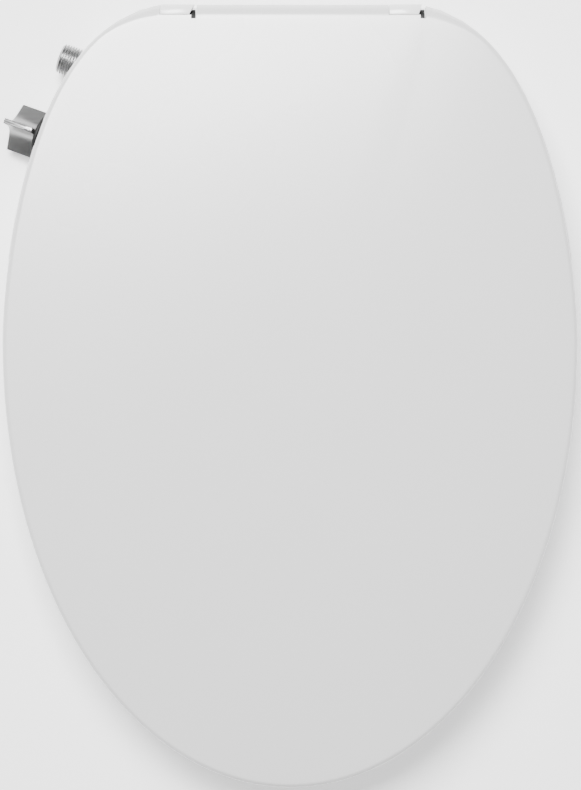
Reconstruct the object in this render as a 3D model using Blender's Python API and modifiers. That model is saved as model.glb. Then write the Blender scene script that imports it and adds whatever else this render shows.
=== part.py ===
"""A water-powered bidet seat with soft-close lid, seat ring, wash nozzles and side knob.

Metres, +Z up, +Y towards the cistern. The origin is on the toilet's deck, midway between
the two mounting bolts. Run with: blender --background --python part.py
"""

import math

import bmesh
import bpy
from mathutils import Matrix, Vector

# ---------------------------------------------------------------- overall plan and heights
LID_HALF_WIDTH = 0.189
WIDEST_Y = -0.1775
NOSE_Y = -0.4706
REAR_Y = 0.045
SHOULDER_LENGTH = 0.228
FRONT_FULLNESS = 2.05
REAR_FULLNESS = 1.7
REAR_BLUNTNESS = 4.1
GAP = 0.0003

TRAY_BOTTOM = 0.0015
SPLIT_HEIGHT = 0.014
BODY_TOP = 0.034
BODY_WALL = 0.0025
BODY_PROUD = 0.003
BODY_DRAFT = 0.003
HOUSING_ROUND = 0.0015
WING_TIP_Y = -0.122
WING_HALF_GAP = 0.120
WING_GAP_REACH = 0.173
WING_GAP_MIDDLE = -0.235

LID_TOP = 0.056
LID_CROWN = 0.004
LID_WALL = 0.003
LID_SKIRT_GAP = 0.0015
LID_SIDE_ROUND = 0.0035
LID_REAR_ROLL = 0.0105

RING_TOP = 0.047
RING_BOTTOM = 0.010
RING_WALL = 0.003
RING_INSET = 0.005
RING_REAR_Y = 0.012
HOLE_HALF_WIDTH = 0.105
HOLE_FRONT_Y = -0.392
HOLE_REAR_Y = -0.080

# ---------------------------------------------------------------- hinge line
HINGE_Y = REAR_Y - LID_REAR_ROLL
HINGE_Z = LID_TOP - LID_REAR_ROLL
HINGE_CLEARANCE = 0.0003
KNUCKLE_RADIUS = LID_REAR_ROLL - LID_WALL - HINGE_CLEARANCE
SHAFT_RADIUS = 0.003
DAMPER_RADIUS = 0.0052
POST_X = 0.0745
POST_WIDTH = 0.019
SEAT_LUG_X = 0.0565
SEAT_LUG_WIDTH = 0.011
LID_LUG_X = 0.043
LID_LUG_WIDTH = 0.010
POST_FOOT = 0.003
POST_FRONT_Y = 0.0135
WINDOW_FRONT_Y = 0.037

# ---------------------------------------------------------------- mounting hardware
BOLT_SPACING = 0.140
BOLT_RADIUS = 0.004
BOLT_REACH = 0.056
DECK_THICKNESS = 0.025
PLATE_WIDTH = 0.190
PLATE_DEPTH = 0.054
PLATE_WEB = 0.003
PLATE_FLANGE = 0.003
PLATE_TOP = PLATE_WEB + PLATE_FLANGE
PLATE_LIP = 0.005
BOLT_HEAD = 0.0024

# ---------------------------------------------------------------- water valve and knob
KNOB_CENTRE = Vector((0.01347 - LID_HALF_WIDTH, -0.03543, 0.019))
KNOB_TILT = math.radians(11.5)
KNOB_HEADING = math.radians(20.4)
KNOB_RADIUS = 0.0180
KNOB_LENGTH = 0.0208
KNOB_INNER = 0.00825
INLET_END = Vector((0.0345 - LID_HALF_WIDTH, 0.0142, 0.0155))
INLET_RADIUS = 0.0104775
INLET_REACH = 0.0132
INLET_BORE = 0.0065

# ---------------------------------------------------------------- nozzles
NOZZLE_PITCH = 0.016
NOZZLE_SLOPE = math.radians(8.0)
NOZZLE_TIP = Vector((0.0, -0.060, 0.014))
NOZZLE_RADIUS = 0.0035
NOZZLE_LENGTH = 0.062
PISTON_RADIUS = 0.0048
PISTON_LENGTH = 0.006
NOZZLE_BORE = 0.0051
BLOCK_HALF_HEIGHT = 0.0062
NOZZLE_BAY_HALF_WIDTH = 0.030

# ---------------------------------------------------------------- fasteners, pads, bumpers
CASE_SCREWS = ((0.135, -0.085), (0.112, 0.018))
FOOT_PADS = ((0.138, -0.100), (0.118, 0.004))
SEAT_BUMPERS = ((0.118, -0.165), (0.092, -0.365))
LID_BUMPERS = ((0.100, -0.330),)
BUMPER_CROWN_SHARE = 0.38

WHITE = (0.86, 0.87, 0.88)
SOFT_WHITE = (0.80, 0.81, 0.82)
NATURAL = (0.72, 0.74, 0.75)
BLACK = (0.02, 0.02, 0.022)
STEEL = (0.62, 0.63, 0.65)
SATIN = (0.50, 0.51, 0.53)
BRASS = (0.62, 0.47, 0.24)
RUBBER_GREY = (0.30, 0.31, 0.32)

for old in list(bpy.data.objects):
    bpy.data.objects.remove(old, do_unlink=True)

PARTS = bpy.data.collections.new("bidet_seat")
CUTTERS = bpy.data.collections.new("cutters")
bpy.context.scene.collection.children.link(PARTS)
bpy.context.scene.collection.children.link(CUTTERS)


# ================================================================ shared making steps
def keep(obj, name, colour=None, roughness=0.4, metallic=0.0):
    """Names an object and files it under the parts with its own material, or under the cutters."""
    obj.name = name
    obj.data.name = name
    for owner in list(obj.users_collection):
        owner.objects.unlink(obj)
    if colour is None:
        CUTTERS.objects.link(obj)
        obj.hide_render = True
        obj.display_type = "WIRE"
        return obj
    PARTS.objects.link(obj)
    material = bpy.data.materials.new(name)
    material.use_nodes = True
    shader = material.node_tree.nodes["Principled BSDF"]
    shader.inputs["Base Color"].default_value = (*colour, 1.0)
    shader.inputs["Roughness"].default_value = roughness
    shader.inputs["Metallic"].default_value = metallic
    obj.data.materials.clear()
    obj.data.materials.append(material)
    if obj.type == "MESH":
        obj.data.shade_smooth()
        obj.data.set_sharp_from_angle(angle=math.radians(35))
    return obj


def cut(target, tool, operation="DIFFERENCE"):
    """Cuts a tool out of a part, or joins it on."""
    step = target.modifiers.new(tool.name, "BOOLEAN")
    step.operation = operation
    step.object = tool
    return target


def rod(radius, start, end, sides=20):
    """A cylinder from one point to another."""
    start, end = Vector(start), Vector(end)
    along = end - start
    bpy.ops.mesh.primitive_cylinder_add(vertices=sides, radius=radius, depth=along.length)
    obj = bpy.context.active_object
    obj.location = (start + end) / 2
    obj.rotation_euler = along.to_track_quat("Z", "Y").to_euler()
    return obj


def box(low, high):
    """A box between two corners."""
    low, high = Vector(low), Vector(high)
    bpy.ops.mesh.primitive_cube_add(size=1.0)
    obj = bpy.context.active_object
    for vertex in obj.data.vertices:
        vertex.co = Vector(vertex.co[i] * (high[i] - low[i]) for i in range(3))
    obj.location = (low + high) / 2
    return obj


def turned(profile, origin, direction, sides=24, ring=False):
    """A turned piece from (radius, height) points that run down its outer side."""
    mesh = bpy.data.meshes.new("turned")
    count = len(profile)
    edges = [(i, i + 1) for i in range(count - 1)] + ([(count - 1, 0)] if ring else [])
    mesh.from_pydata([(r, 0.0, h) for r, h in profile], edges, [])
    obj = bpy.data.objects.new("turned", mesh)
    bpy.context.scene.collection.objects.link(obj)
    spin = obj.modifiers.new("spin", "SCREW")
    spin.steps = sides
    spin.render_steps = sides
    spin.use_merge_vertices = True
    spin.merge_threshold = 0.00001
    spin.use_normal_calculate = False
    spin.use_normal_flip = False
    obj.location = origin
    obj.rotation_euler = Vector(direction).to_track_quat("Z", "Y").to_euler()
    return obj


def skin(loops, first_hub=None, last_hub=None, closed=False):
    """A surface through matching loops of points, each anticlockwise seen from above.

    A hub closes the surface over the first or the last loop.
    """
    bm = bmesh.new()
    rows = [[bm.verts.new(point) for point in loop] for loop in loops]
    pairs = list(zip(rows, rows[1:])) + ([(rows[-1], rows[0])] if closed else [])
    for lower, upper in pairs:
        for i in range(len(lower)):
            j = (i + 1) % len(lower)
            bm.faces.new((lower[i], lower[j], upper[j], upper[i]))
    for hub, row in ((first_hub, rows[0][::-1]), (last_hub, rows[-1])):
        if hub is not None:
            top = bm.verts.new(hub)
            for i in range(len(row)):
                bm.faces.new((row[i], row[(i + 1) % len(row)], top))
    mesh = bpy.data.meshes.new("skin")
    bm.to_mesh(mesh)
    bm.free()
    obj = bpy.data.objects.new("skin", mesh)
    bpy.context.scene.collection.objects.link(obj)
    return obj


def capped(loops):
    """A solid through matching loops of points, with a flat face over each end."""
    obj = skin(loops)
    count = len(loops[0])
    bm = bmesh.new()
    bm.from_mesh(obj.data)
    verts = list(bm.verts)
    bm.faces.new(reversed(verts[:count]))
    bm.faces.new(verts[-count:])
    bm.to_mesh(obj.data)
    bm.free()
    return obj


def at_height(points, z):
    return [(x, y, z) for x, y in points]


def plate(outline, thickness):
    """A flat outline given in X and Y, either way round, from z = 0 up to its thickness."""
    area = sum(a[0] * b[1] - b[0] * a[1] for a, b in zip(outline, [*outline[1:], outline[0]]))
    around = outline if area > 0 else outline[::-1]
    return capped([at_height(around, 0.0), at_height(around, thickness)])


def side_plate(outline, low_x, high_x):
    """A plate whose outline is drawn in Y and Z and whose thickness runs along X."""
    obj = plate(outline, high_x - low_x)
    obj.data.transform(Matrix(((0, 0, 1, low_x), (1, 0, 0, 0), (0, 1, 0, 0), (0, 0, 0, 1))))
    return obj


def arc(centre, radius, first, last, steps):
    """Points on an arc, by angle in degrees."""
    span = (math.radians(first + (last - first) * i / steps) for i in range(steps + 1))
    return [(centre[0] + radius * math.cos(a), centre[1] + radius * math.sin(a)) for a in span]


def thicken(obj, wall):
    """Gives an open outer surface its wall, inwards."""
    step = obj.modifiers.new("wall", "SOLIDIFY")
    step.thickness = wall
    step.offset = -1.0
    return obj


def coil(start, end, radius, wire, turns, points_per_turn=9):
    """A compression spring between two points, as a wire along a helix."""
    start, end = Vector(start), Vector(end)
    turn = (end - start).to_track_quat("Z", "Y")
    length = (end - start).length
    curve = bpy.data.curves.new("coil", "CURVE")
    curve.dimensions = "3D"
    curve.bevel_depth = wire
    curve.bevel_resolution = 2
    curve.use_fill_caps = True
    spline = curve.splines.new("POLY")
    count = turns * points_per_turn
    spline.points.add(count)
    for i, point in enumerate(spline.points):
        angle = 2 * math.pi * i / points_per_turn
        rise = wire + (length - 2 * wire) * i / count
        place = start + turn @ Vector((radius * math.cos(angle), radius * math.sin(angle), rise))
        point.co = (*place, 1.0)
    return bpy.data.objects.new("coil", curve)


def hose(route, radius, points_per_span=6):
    """A tube along a smooth curve through the route's points, straight on at both ends."""
    route = [Vector(point) for point in route]
    spans = [after - before for before, after in zip(route, route[1:])]
    slopes = [spans[0]]
    for before, after in zip(spans, spans[1:]):
        slopes.append((before + after).normalized() * min(before.length, after.length))
    slopes.append(spans[-1])
    smooth = []
    for i, span in enumerate(spans):
        for k in range(points_per_span):
            t = k / points_per_span
            smooth.append(route[i] + span * t * t * (3 - 2 * t) + slopes[i] * t * (1 - t) ** 2
                          - slopes[i + 1] * t * t * (1 - t))
    smooth.append(route[-1])
    curve = bpy.data.curves.new("hose", "CURVE")
    curve.dimensions = "3D"
    curve.bevel_depth = radius
    curve.bevel_resolution = 2
    curve.use_fill_caps = True
    spline = curve.splines.new("POLY")
    spline.points.add(len(smooth) - 1)
    for point, place in zip(spline.points, smooth):
        point.co = (*place, 1.0)
    return bpy.data.objects.new("hose", curve)


def mirror_points(right):
    """Closes a right half, from rear centre to front centre, into an anticlockwise loop."""
    left = [(-x, y) for x, y in reversed(right) if abs(x) > 1e-9]
    return list(reversed(right + left))


# ================================================================ plan outlines
def egg_half_width(y, inset):
    """Half width of the seat's plan at y: a front and a rear superellipse."""
    if y <= WIDEST_Y:
        share = (WIDEST_Y - y) / (WIDEST_Y - NOSE_Y - inset)
        return (LID_HALF_WIDTH - inset) * max(0.0, 1 - share**FRONT_FULLNESS) ** 0.5
    share = (y - WIDEST_Y) / (SHOULDER_LENGTH - inset)
    return (LID_HALF_WIDTH - inset) * max(0.0, 1 - share**REAR_FULLNESS) ** (1 / REAR_BLUNTNESS)


def egg(inset, rear_y, corner, corner_angle, last_y=None):
    """Right half of the plan outline, from the rear centre line to the nose or to last_y."""
    start_y = rear_y - corner * (1 - math.sin(math.radians(corner_angle)))
    start_x = egg_half_width(start_y, inset)
    centre = (start_x - corner * math.cos(math.radians(corner_angle)), rear_y - corner)
    points = [(0.0, rear_y), (0.45 * centre[0], rear_y)]
    points += arc(centre, corner, 90, corner_angle, 4)
    stop = last_y if last_y is not None else WIDEST_Y
    shoulder = SHOULDER_LENGTH - inset
    first = math.asin(((start_y - WIDEST_Y) / shoulder) ** (REAR_FULLNESS / 2))
    final = math.asin((max(0.0, stop - WIDEST_Y) / shoulder) ** (REAR_FULLNESS / 2))
    for i in range(1, 12):
        share = abs(math.sin(first + (final - first) * i / 11)) ** (2 / REAR_FULLNESS)
        y = WIDEST_Y + shoulder * share
        points.append((egg_half_width(y, inset), y))
    if last_y is not None:
        return points
    reach = WIDEST_Y - NOSE_Y - inset
    for i in range(1, 14):
        a = math.radians(90 * i / 13)
        forward = reach * math.sin(a) ** (2 / FRONT_FULLNESS)
        points.append(((LID_HALF_WIDTH - inset) * math.cos(a), WIDEST_Y - forward))
    points[-1] = (0.0, NOSE_Y + inset)
    return points


def seat_hole(point, grow=0.0):
    """The point on the seat's hole that lies towards a point of the ring's outer outline."""
    middle = (HOLE_FRONT_Y + HOLE_REAR_Y) / 2
    half_length = (HOLE_REAR_Y - HOLE_FRONT_Y) / 2 + grow
    half_width = HOLE_HALF_WIDTH + grow
    a = math.atan2((point[1] - middle) / half_length, point[0] / half_width)
    return half_width * math.cos(a), middle + half_length * math.sin(a)


def body_loop(grow, tip_y=WING_TIP_Y):
    """The horseshoe plan of the body: a rear block with a wing along each side."""
    outer = egg(-BODY_PROUD - grow, REAR_Y + grow, 0.030, 75, tip_y - grow)
    half_width, reach = WING_HALF_GAP - grow, WING_GAP_REACH - grow
    middle = WING_GAP_MIDDLE
    depth = (tip_y - grow - middle) / reach
    edge = math.acos(depth**1.5)
    inner = []
    for i in range(10):
        a = edge * (1 - i / 9)
        inner.append((half_width * math.sin(a) ** (2 / 3), middle + reach * math.cos(a) ** (2 / 3)))
    inner[-1] = (0.0, middle + reach)
    tip = [(outer[-1][0] - 0.004, tip_y - grow - 0.003), (inner[0][0] + 0.006, tip_y - grow - 0.003)]
    return mirror_points(outer + tip + inner)


# ================================================================ valve directions
OUTWARD = Vector((-math.cos(KNOB_HEADING), math.sin(KNOB_HEADING), 0.0))
ALONG_WALL = Vector((math.sin(KNOB_HEADING), math.cos(KNOB_HEADING), 0.0))
KNOB_AXIS = OUTWARD * math.cos(KNOB_TILT) - Vector((0.0, 0.0, math.sin(KNOB_TILT)))
KNOB_UP = OUTWARD * math.sin(KNOB_TILT) + Vector((0.0, 0.0, math.cos(KNOB_TILT)))
COLLAR_FLANGE_RADIUS = 0.0150
COLLAR_SLEEVE_RADIUS = 0.0128
COLLAR_FACE = -KNOB_INNER - 0.0006
COLLAR_FLANGE = 0.0026
COLLAR_LENGTH = 0.0090
STEM_RADIUS = 0.004


def on_knob(distance):
    """A point on the knob's axis, outwards from a point inside the knob."""
    return KNOB_CENTRE + KNOB_AXIS * distance


def on_inlet(distance):
    """A point on the inlet's axis, inwards from its outer end."""
    return INLET_END - OUTWARD * distance


# ================================================================ housing
def inset_at(z):
    """How far the housing's wall has drawn in at a height."""
    return BODY_DRAFT * (BODY_TOP - z) / (BODY_TOP - TRAY_BOTTOM)


def housing_block(top, bottom, wall):
    """A solid over the horseshoe plan, drawn in by a wall, between two heights."""
    return capped([at_height(body_loop(-wall - inset_at(z)), z) for z in (bottom, top)])


def soften_rim(obj, z):
    """Rounds the rim that lies at a height."""
    bm = bmesh.new()
    bm.from_mesh(obj.data)
    rim = [e for e in bm.edges if all(abs(v.co.z - z) < 1e-6 for v in e.verts)]
    bmesh.ops.bevel(bm, geom=rim, offset=HOUSING_ROUND, segments=2, profile=0.5, affect="EDGES")
    bm.to_mesh(obj.data)
    bm.free()


def screw_places(spots):
    return [(side * x, y) for x, y in spots for side in (-1, 1)]


def joined(objects, name):
    """Several separate tools as one tool."""
    bpy.context.view_layer.update()
    bm = bmesh.new()
    for obj in objects:
        part = bmesh.new()
        part.from_mesh(obj.data)
        part.transform(obj.matrix_world)
        scratch = bpy.data.meshes.new("scratch")
        part.to_mesh(scratch)
        part.free()
        bm.from_mesh(scratch)
        bpy.data.meshes.remove(scratch)
        bpy.data.objects.remove(obj, do_unlink=True)
    mesh = bpy.data.meshes.new(name)
    bm.to_mesh(mesh)
    bm.free()
    return keep(bpy.data.objects.new(name, mesh), name)


POCKET_TOP = PLATE_TOP + BOLT_HEAD + 0.0006
POCKET_HALF_WIDTH = PLATE_WIDTH / 2 + 0.0025
POCKET_FRONT = -PLATE_DEPTH / 2 - 0.0015
BUTTON_HALF_WIDTH = 0.008
BUTTON_LOW, BUTTON_HIGH = 0.0050, 0.0120
BUTTON_INNER_X = 0.1345
BUTTON_PROUD = 0.0010
LATCH_RIB_X = 0.108
LATCH_END_X = 0.0925
LATCH_HALF_WIDTH = 0.004
LATCH_LOW = PLATE_TOP + GAP
LATCH_THICKNESS = 0.0017
TOOTH_LOW = PLATE_TOP - 0.0014
TOOTH_WIDTH = 0.0023
BUTTON_TRAVEL = 0.003
SPRING_SEAT_X = 0.1290

knob_opening = keep(rod(COLLAR_SLEEVE_RADIUS + GAP, on_knob(-0.024), on_knob(0.004), 28), "knob_opening")
knob_spot = keep(
    rod(COLLAR_FLANGE_RADIUS + GAP, on_knob(COLLAR_FACE - COLLAR_FLANGE - GAP), on_knob(0.004), 28),
    "knob_spot",
)
knob_way = keep(rod(KNOB_RADIUS + 2 * GAP, on_knob(-KNOB_INNER - GAP), on_knob(0.030), 36), "knob_way")
inlet_opening = keep(rod(INLET_RADIUS + 0.0005, on_inlet(0.034), on_inlet(-0.004), 28), "inlet_opening")
bay_window = keep(
    box((-NOZZLE_BAY_HALF_WIDTH, -0.070, 0.0045), (NOZZLE_BAY_HALF_WIDTH, -0.0545, BODY_TOP - 0.003)),
    "bay_window",
)

base_tray = housing_block(SPLIT_HEIGHT - GAP, TRAY_BOTTOM, 0.0)
soften_rim(base_tray, TRAY_BOTTOM)
keep(base_tray, "base_tray", SOFT_WHITE, 0.45)
tray_cavity = housing_block(SPLIT_HEIGHT + 0.003, TRAY_BOTTOM + BODY_WALL, BODY_WALL)
cut(base_tray, keep(tray_cavity, "tray_cavity"))
pocket_block = box(
    (-POCKET_HALF_WIDTH - 0.0025, POCKET_FRONT - 0.002, TRAY_BOTTOM + 0.0005),
    (POCKET_HALF_WIDTH + 0.0025, REAR_Y - 0.0025, POCKET_TOP + 0.002),
)
tray_bosses = [
    rod(0.006, (x, y, TRAY_BOTTOM + 0.0005), (x, y, SPLIT_HEIGHT - 2 * GAP), 16)
    for x, y in screw_places(CASE_SCREWS)
]
latch_rib = box((LATCH_RIB_X, -0.006, TRAY_BOTTOM + 0.0005), (LATCH_RIB_X + 0.002, 0.006, 0.013))
cut(base_tray, joined([pocket_block, *tray_bosses, latch_rib], "tray_additions"), "UNION")
pocket = [
    box((-PLATE_WIDTH / 2 + PLATE_LIP - 0.0006, POCKET_FRONT, -0.01),
        (PLATE_WIDTH / 2 - PLATE_LIP + 0.0006, REAR_Y + 0.01, 0.004)),
]
cut(base_tray, joined(pocket, "plate_slot"))
cut(base_tray, keep(box((-POCKET_HALF_WIDTH, POCKET_FRONT, PLATE_WEB - GAP),
                        (POCKET_HALF_WIDTH, REAR_Y + 0.01, POCKET_TOP)), "plate_pocket"))
screw_wells = [
    rod(0.0036, (x, y, -0.005), (x, y, 0.0055), 16) for x, y in screw_places(CASE_SCREWS)
]
cut(base_tray, joined(screw_wells, "screw_wells"))
screw_ways = [rod(0.0020, (x, y, 0.004), (x, y, 0.020), 12) for x, y in screw_places(CASE_SCREWS)]
cut(base_tray, joined(screw_ways, "screw_ways"))
latch_ways = [
    box((PLATE_WIDTH / 2 + 0.001, -LATCH_HALF_WIDTH - 0.0006, TOOTH_LOW - 0.0006),
        (LATCH_RIB_X + 0.003, LATCH_HALF_WIDTH + 0.0006, LATCH_LOW + LATCH_THICKNESS + 0.0004)),
    box((BUTTON_INNER_X - 0.0035, -BUTTON_HALF_WIDTH - 0.0005, BUTTON_LOW - 0.0004),
        (LID_HALF_WIDTH, BUTTON_HALF_WIDTH + 0.0005, BUTTON_HIGH + 0.0004)),
]
cut(base_tray, joined(latch_ways, "latch_ways"))
for tool in (knob_opening, knob_spot, knob_way, inlet_opening, bay_window):
    cut(base_tray, tool)

top_cover = housing_block(BODY_TOP, SPLIT_HEIGHT, 0.0)
soften_rim(top_cover, BODY_TOP)
keep(top_cover, "top_cover", WHITE, 0.25)
cover_cavity = housing_block(BODY_TOP - BODY_WALL, SPLIT_HEIGHT - 0.003, BODY_WALL)
cut(top_cover, keep(cover_cavity, "cover_cavity"))
cover_bosses = [
    rod(0.005, (x, y, SPLIT_HEIGHT + GAP), (x, y, BODY_TOP - 0.001), 16)
    for x, y in screw_places(CASE_SCREWS)
]
cut(top_cover, joined(cover_bosses, "cover_bosses"), "UNION")
pilot_holes = [
    rod(0.0018, (x, y, 0.010), (x, y, 0.029), 12) for x, y in screw_places(CASE_SCREWS)
]
cut(top_cover, joined(pilot_holes, "pilot_holes"))
POST_SCREW_Y = 0.0175
post_pilots = [
    rod(0.0019, (side * POST_X, POST_SCREW_Y, 0.028), (side * POST_X, POST_SCREW_Y, 0.040), 12)
    for side in (-1, 1)
]
cut(top_cover, joined(post_pilots, "post_pilots"))
for tool in (knob_opening, knob_spot, knob_way, inlet_opening, bay_window):
    cut(top_cover, tool)

# ================================================================ case screws and foot pads
for number, (x, y) in enumerate(screw_places(CASE_SCREWS), 1):
    screw = turned(
        [(0.0, 0.0262), (0.0014, 0.0255), (0.0016, 0.0240), (0.0016, 0.0052), (0.0031, 0.0050),
         (0.0031, 0.0034), (0.0026, 0.0028), (0.0, 0.0028)],
        (x, y, 0.0), (0, 0, 1), 12,
    )
    keep(screw, f"case_screw_{number}", STEEL, 0.3, 1.0)

for number, (x, y) in enumerate(screw_places(FOOT_PADS), 1):
    pad = turned(
        [(0.0, TRAY_BOTTOM - GAP), (0.0068, TRAY_BOTTOM - GAP), (0.0070, 0.0009), (0.0066, 0.0),
         (0.0, 0.0)],
        (x, y, 0.0), (0, 0, 1), 18,
    )
    keep(pad, f"foot_pad_{number}", RUBBER_GREY, 0.8)

# ================================================================ mounting plate and bolts
flange = PLATE_WIDTH / 2
web = flange - PLATE_LIP
plate_section = [
    (-web, 0.0), (web, 0.0), (web, PLATE_WEB), (flange, PLATE_WEB),
    (flange, PLATE_WEB + PLATE_FLANGE), (-flange, PLATE_WEB + PLATE_FLANGE),
    (-flange, PLATE_WEB), (-web, PLATE_WEB),
]
mounting_plate = plate(plate_section, PLATE_DEPTH)
mounting_plate.data.transform(
    Matrix(((1, 0, 0, 0), (0, 0, -1, PLATE_DEPTH / 2), (0, 1, 0, 0), (0, 0, 0, 1)))
)
keep(mounting_plate, "mounting_plate", NATURAL, 0.5)
SLOT_RADIUS = BOLT_RADIUS + 0.0004
SLOT_HALF_LENGTH = 0.012
slots = []
for side in (-1, 1):
    straight = SLOT_HALF_LENGTH - SLOT_RADIUS
    outline = arc((0, straight), SLOT_RADIUS, 0, 180, 8) + arc((0, -straight), SLOT_RADIUS, 180, 360, 8)
    slot = plate(outline, 0.010)
    slot.location = (side * BOLT_SPACING / 2, 0.0, -0.002)
    slots.append(slot)
cut(mounting_plate, joined(slots, "bolt_slots"))
# The tooth sits in the notch until the button pushes it inwards, into the channel that runs forwards.
groove_low_x = LATCH_END_X - BUTTON_TRAVEL - 0.0008
groove_floor = TOOTH_LOW - 0.0004
notch_half = LATCH_HALF_WIDTH + 0.0005
latch_notch = box((groove_low_x, -notch_half, groove_floor), (flange + 0.001, notch_half, 0.010))
cut(mounting_plate, keep(latch_notch, "latch_notch"))
release_channel = box((groove_low_x, -PLATE_DEPTH / 2 - 0.001, groove_floor),
                      (LATCH_END_X - GAP, 0.0, 0.010))
cut(mounting_plate, keep(release_channel, "release_channel"))

for side, label in ((-1, "left"), (1, "right")):
    x = side * BOLT_SPACING / 2
    bolt = turned(
        [(0.0, PLATE_TOP + BOLT_HEAD), (0.0070, PLATE_TOP + BOLT_HEAD), (0.0085, PLATE_TOP + 0.0012),
         (0.0085, PLATE_TOP + GAP), (BOLT_RADIUS, PLATE_TOP + GAP), (BOLT_RADIUS, 0.002 - BOLT_REACH),
         (BOLT_RADIUS - 0.001, -BOLT_REACH), (0.0, -BOLT_REACH)],
        (x, 0.0, 0.0), (0, 0, 1), 20,
    )
    keep(bolt, f"mounting_bolt_{label}", STEEL, 0.3, 1.0)
    bore = BOLT_RADIUS + GAP
    deck_under = -DECK_THICKNESS - GAP
    cone = turned(
        [(bore, deck_under), (0.0125, deck_under), (0.0125, deck_under - 0.002),
         (0.0090, deck_under - 0.007), (bore, deck_under - 0.007)],
        (x, 0.0, 0.0), (0, 0, 1), 20, ring=True,
    )
    keep(cone, f"rubber_washer_{label}", BLACK, 0.8)
    washer_top = deck_under - 0.007 - GAP
    washer = turned(
        [(bore, washer_top), (0.0095, washer_top), (0.0095, washer_top - 0.0012),
         (bore, washer_top - 0.0012)],
        (x, 0.0, 0.0), (0, 0, 1), 20, ring=True,
    )
    keep(washer, f"bolt_washer_{label}", STEEL, 0.3, 1.0)
    nut_top = washer_top - 0.0012 - GAP
    nut = turned(
        [(0.0, nut_top), (0.0078, nut_top), (0.0085, nut_top - 0.001), (0.0085, nut_top - 0.006),
         (0.0078, nut_top - 0.007), (0.0, nut_top - 0.007)],
        (x, 0.0, 0.0), (0, 0, 1), 6,
    )
    keep(nut, f"mounting_nut_{label}", STEEL, 0.3, 1.0)
    cut(nut, keep(rod(bore, (x, 0.0, nut_top - 0.010), (x, 0.0, nut_top + 0.003)), f"nut_bore_{label}"))

# ================================================================ release button, latch and spring
def button_face(y):
    """Where the button's outer face stands, just proud of the slanting wall."""
    return egg_half_width(y, -BODY_PROUD) - inset_at(BUTTON_HIGH) + BUTTON_PROUD


release_button = plate([
    (LATCH_END_X, -LATCH_HALF_WIDTH), (BUTTON_INNER_X + 0.002, -LATCH_HALF_WIDTH),
    (BUTTON_INNER_X + 0.002, LATCH_HALF_WIDTH), (LATCH_END_X, LATCH_HALF_WIDTH),
], LATCH_THICKNESS)
release_button.location.z = LATCH_LOW
keep(release_button, "release_button", WHITE, 0.35)
button_head = plate([
    (BUTTON_INNER_X, -BUTTON_HALF_WIDTH), (button_face(-BUTTON_HALF_WIDTH), -BUTTON_HALF_WIDTH),
    (button_face(BUTTON_HALF_WIDTH), BUTTON_HALF_WIDTH), (BUTTON_INNER_X, BUTTON_HALF_WIDTH),
], BUTTON_HIGH - BUTTON_LOW - 0.0005)
button_head.location.z = BUTTON_LOW + 0.0005
spring_seat = box((SPRING_SEAT_X, -LATCH_HALF_WIDTH, LATCH_LOW + 0.0005),
                  (SPRING_SEAT_X + 0.002, LATCH_HALF_WIDTH, BUTTON_LOW + 0.0085))
tooth = box((LATCH_END_X, -LATCH_HALF_WIDTH, TOOTH_LOW),
            (LATCH_END_X + TOOTH_WIDTH, LATCH_HALF_WIDTH, LATCH_LOW + LATCH_THICKNESS / 2))
cut(release_button, joined([button_head, spring_seat, tooth], "button_additions"), "UNION")
spring_low = (LATCH_RIB_X + 0.002 + GAP, 0.0, BUTTON_LOW + 0.0058)
spring_high = (SPRING_SEAT_X - GAP, 0.0, BUTTON_LOW + 0.0058)
keep(coil(spring_low, spring_high, 0.0022, 0.0003, 6, 8), "release_spring", STEEL, 0.3, 1.0)

# ================================================================ valve, inlet and knob
VALVE_FACE = 0.0213 + BODY_WALL
VALVE_LENGTH = 0.0765
VALVE_SHIFT = 0.02425
VALVE_DEPTH = 0.016
VALVE_LOW, VALVE_HIGH = 0.0065, 0.0305
valve_body = box((-VALVE_DEPTH / 2, -VALVE_LENGTH / 2, VALVE_LOW),
                 (VALVE_DEPTH / 2, VALVE_LENGTH / 2, VALVE_HIGH))
middle = KNOB_CENTRE - OUTWARD * (VALVE_FACE + VALVE_DEPTH / 2) + ALONG_WALL * VALVE_SHIFT
valve_body.location.x, valve_body.location.y = middle.x, middle.y
valve_body.rotation_euler.z = -KNOB_HEADING
keep(valve_body, "valve_body", NATURAL, 0.45)
stem_bore = keep(rod(0.0058, on_knob(-0.033), on_knob(-0.012), 20), "stem_bore")
inlet_bore = keep(
    rod(0.0082, on_inlet(INLET_REACH + 0.0145), on_inlet(INLET_REACH - 0.0015), 20), "inlet_bore"
)
cut(valve_body, stem_bore)
cut(valve_body, inlet_bore)

stem_hole = STEM_RADIUS + GAP
cartridge = turned(
    [(stem_hole, -0.0215), (0.0055, -0.0215), (0.0055, -0.0325), (stem_hole, -0.0325)],
    KNOB_CENTRE, KNOB_AXIS, 20, ring=True,
)
keep(cartridge, "valve_cartridge", BRASS, 0.35, 1.0)
stem = turned(
    [(0.0, -0.002), (STEM_RADIUS - 0.001, -0.002), (STEM_RADIUS, -0.003), (STEM_RADIUS, -0.032),
     (0.0, -0.032)],
    KNOB_CENTRE, KNOB_AXIS, 16,
)
keep(stem, "valve_stem", BRASS, 0.35, 1.0)

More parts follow.
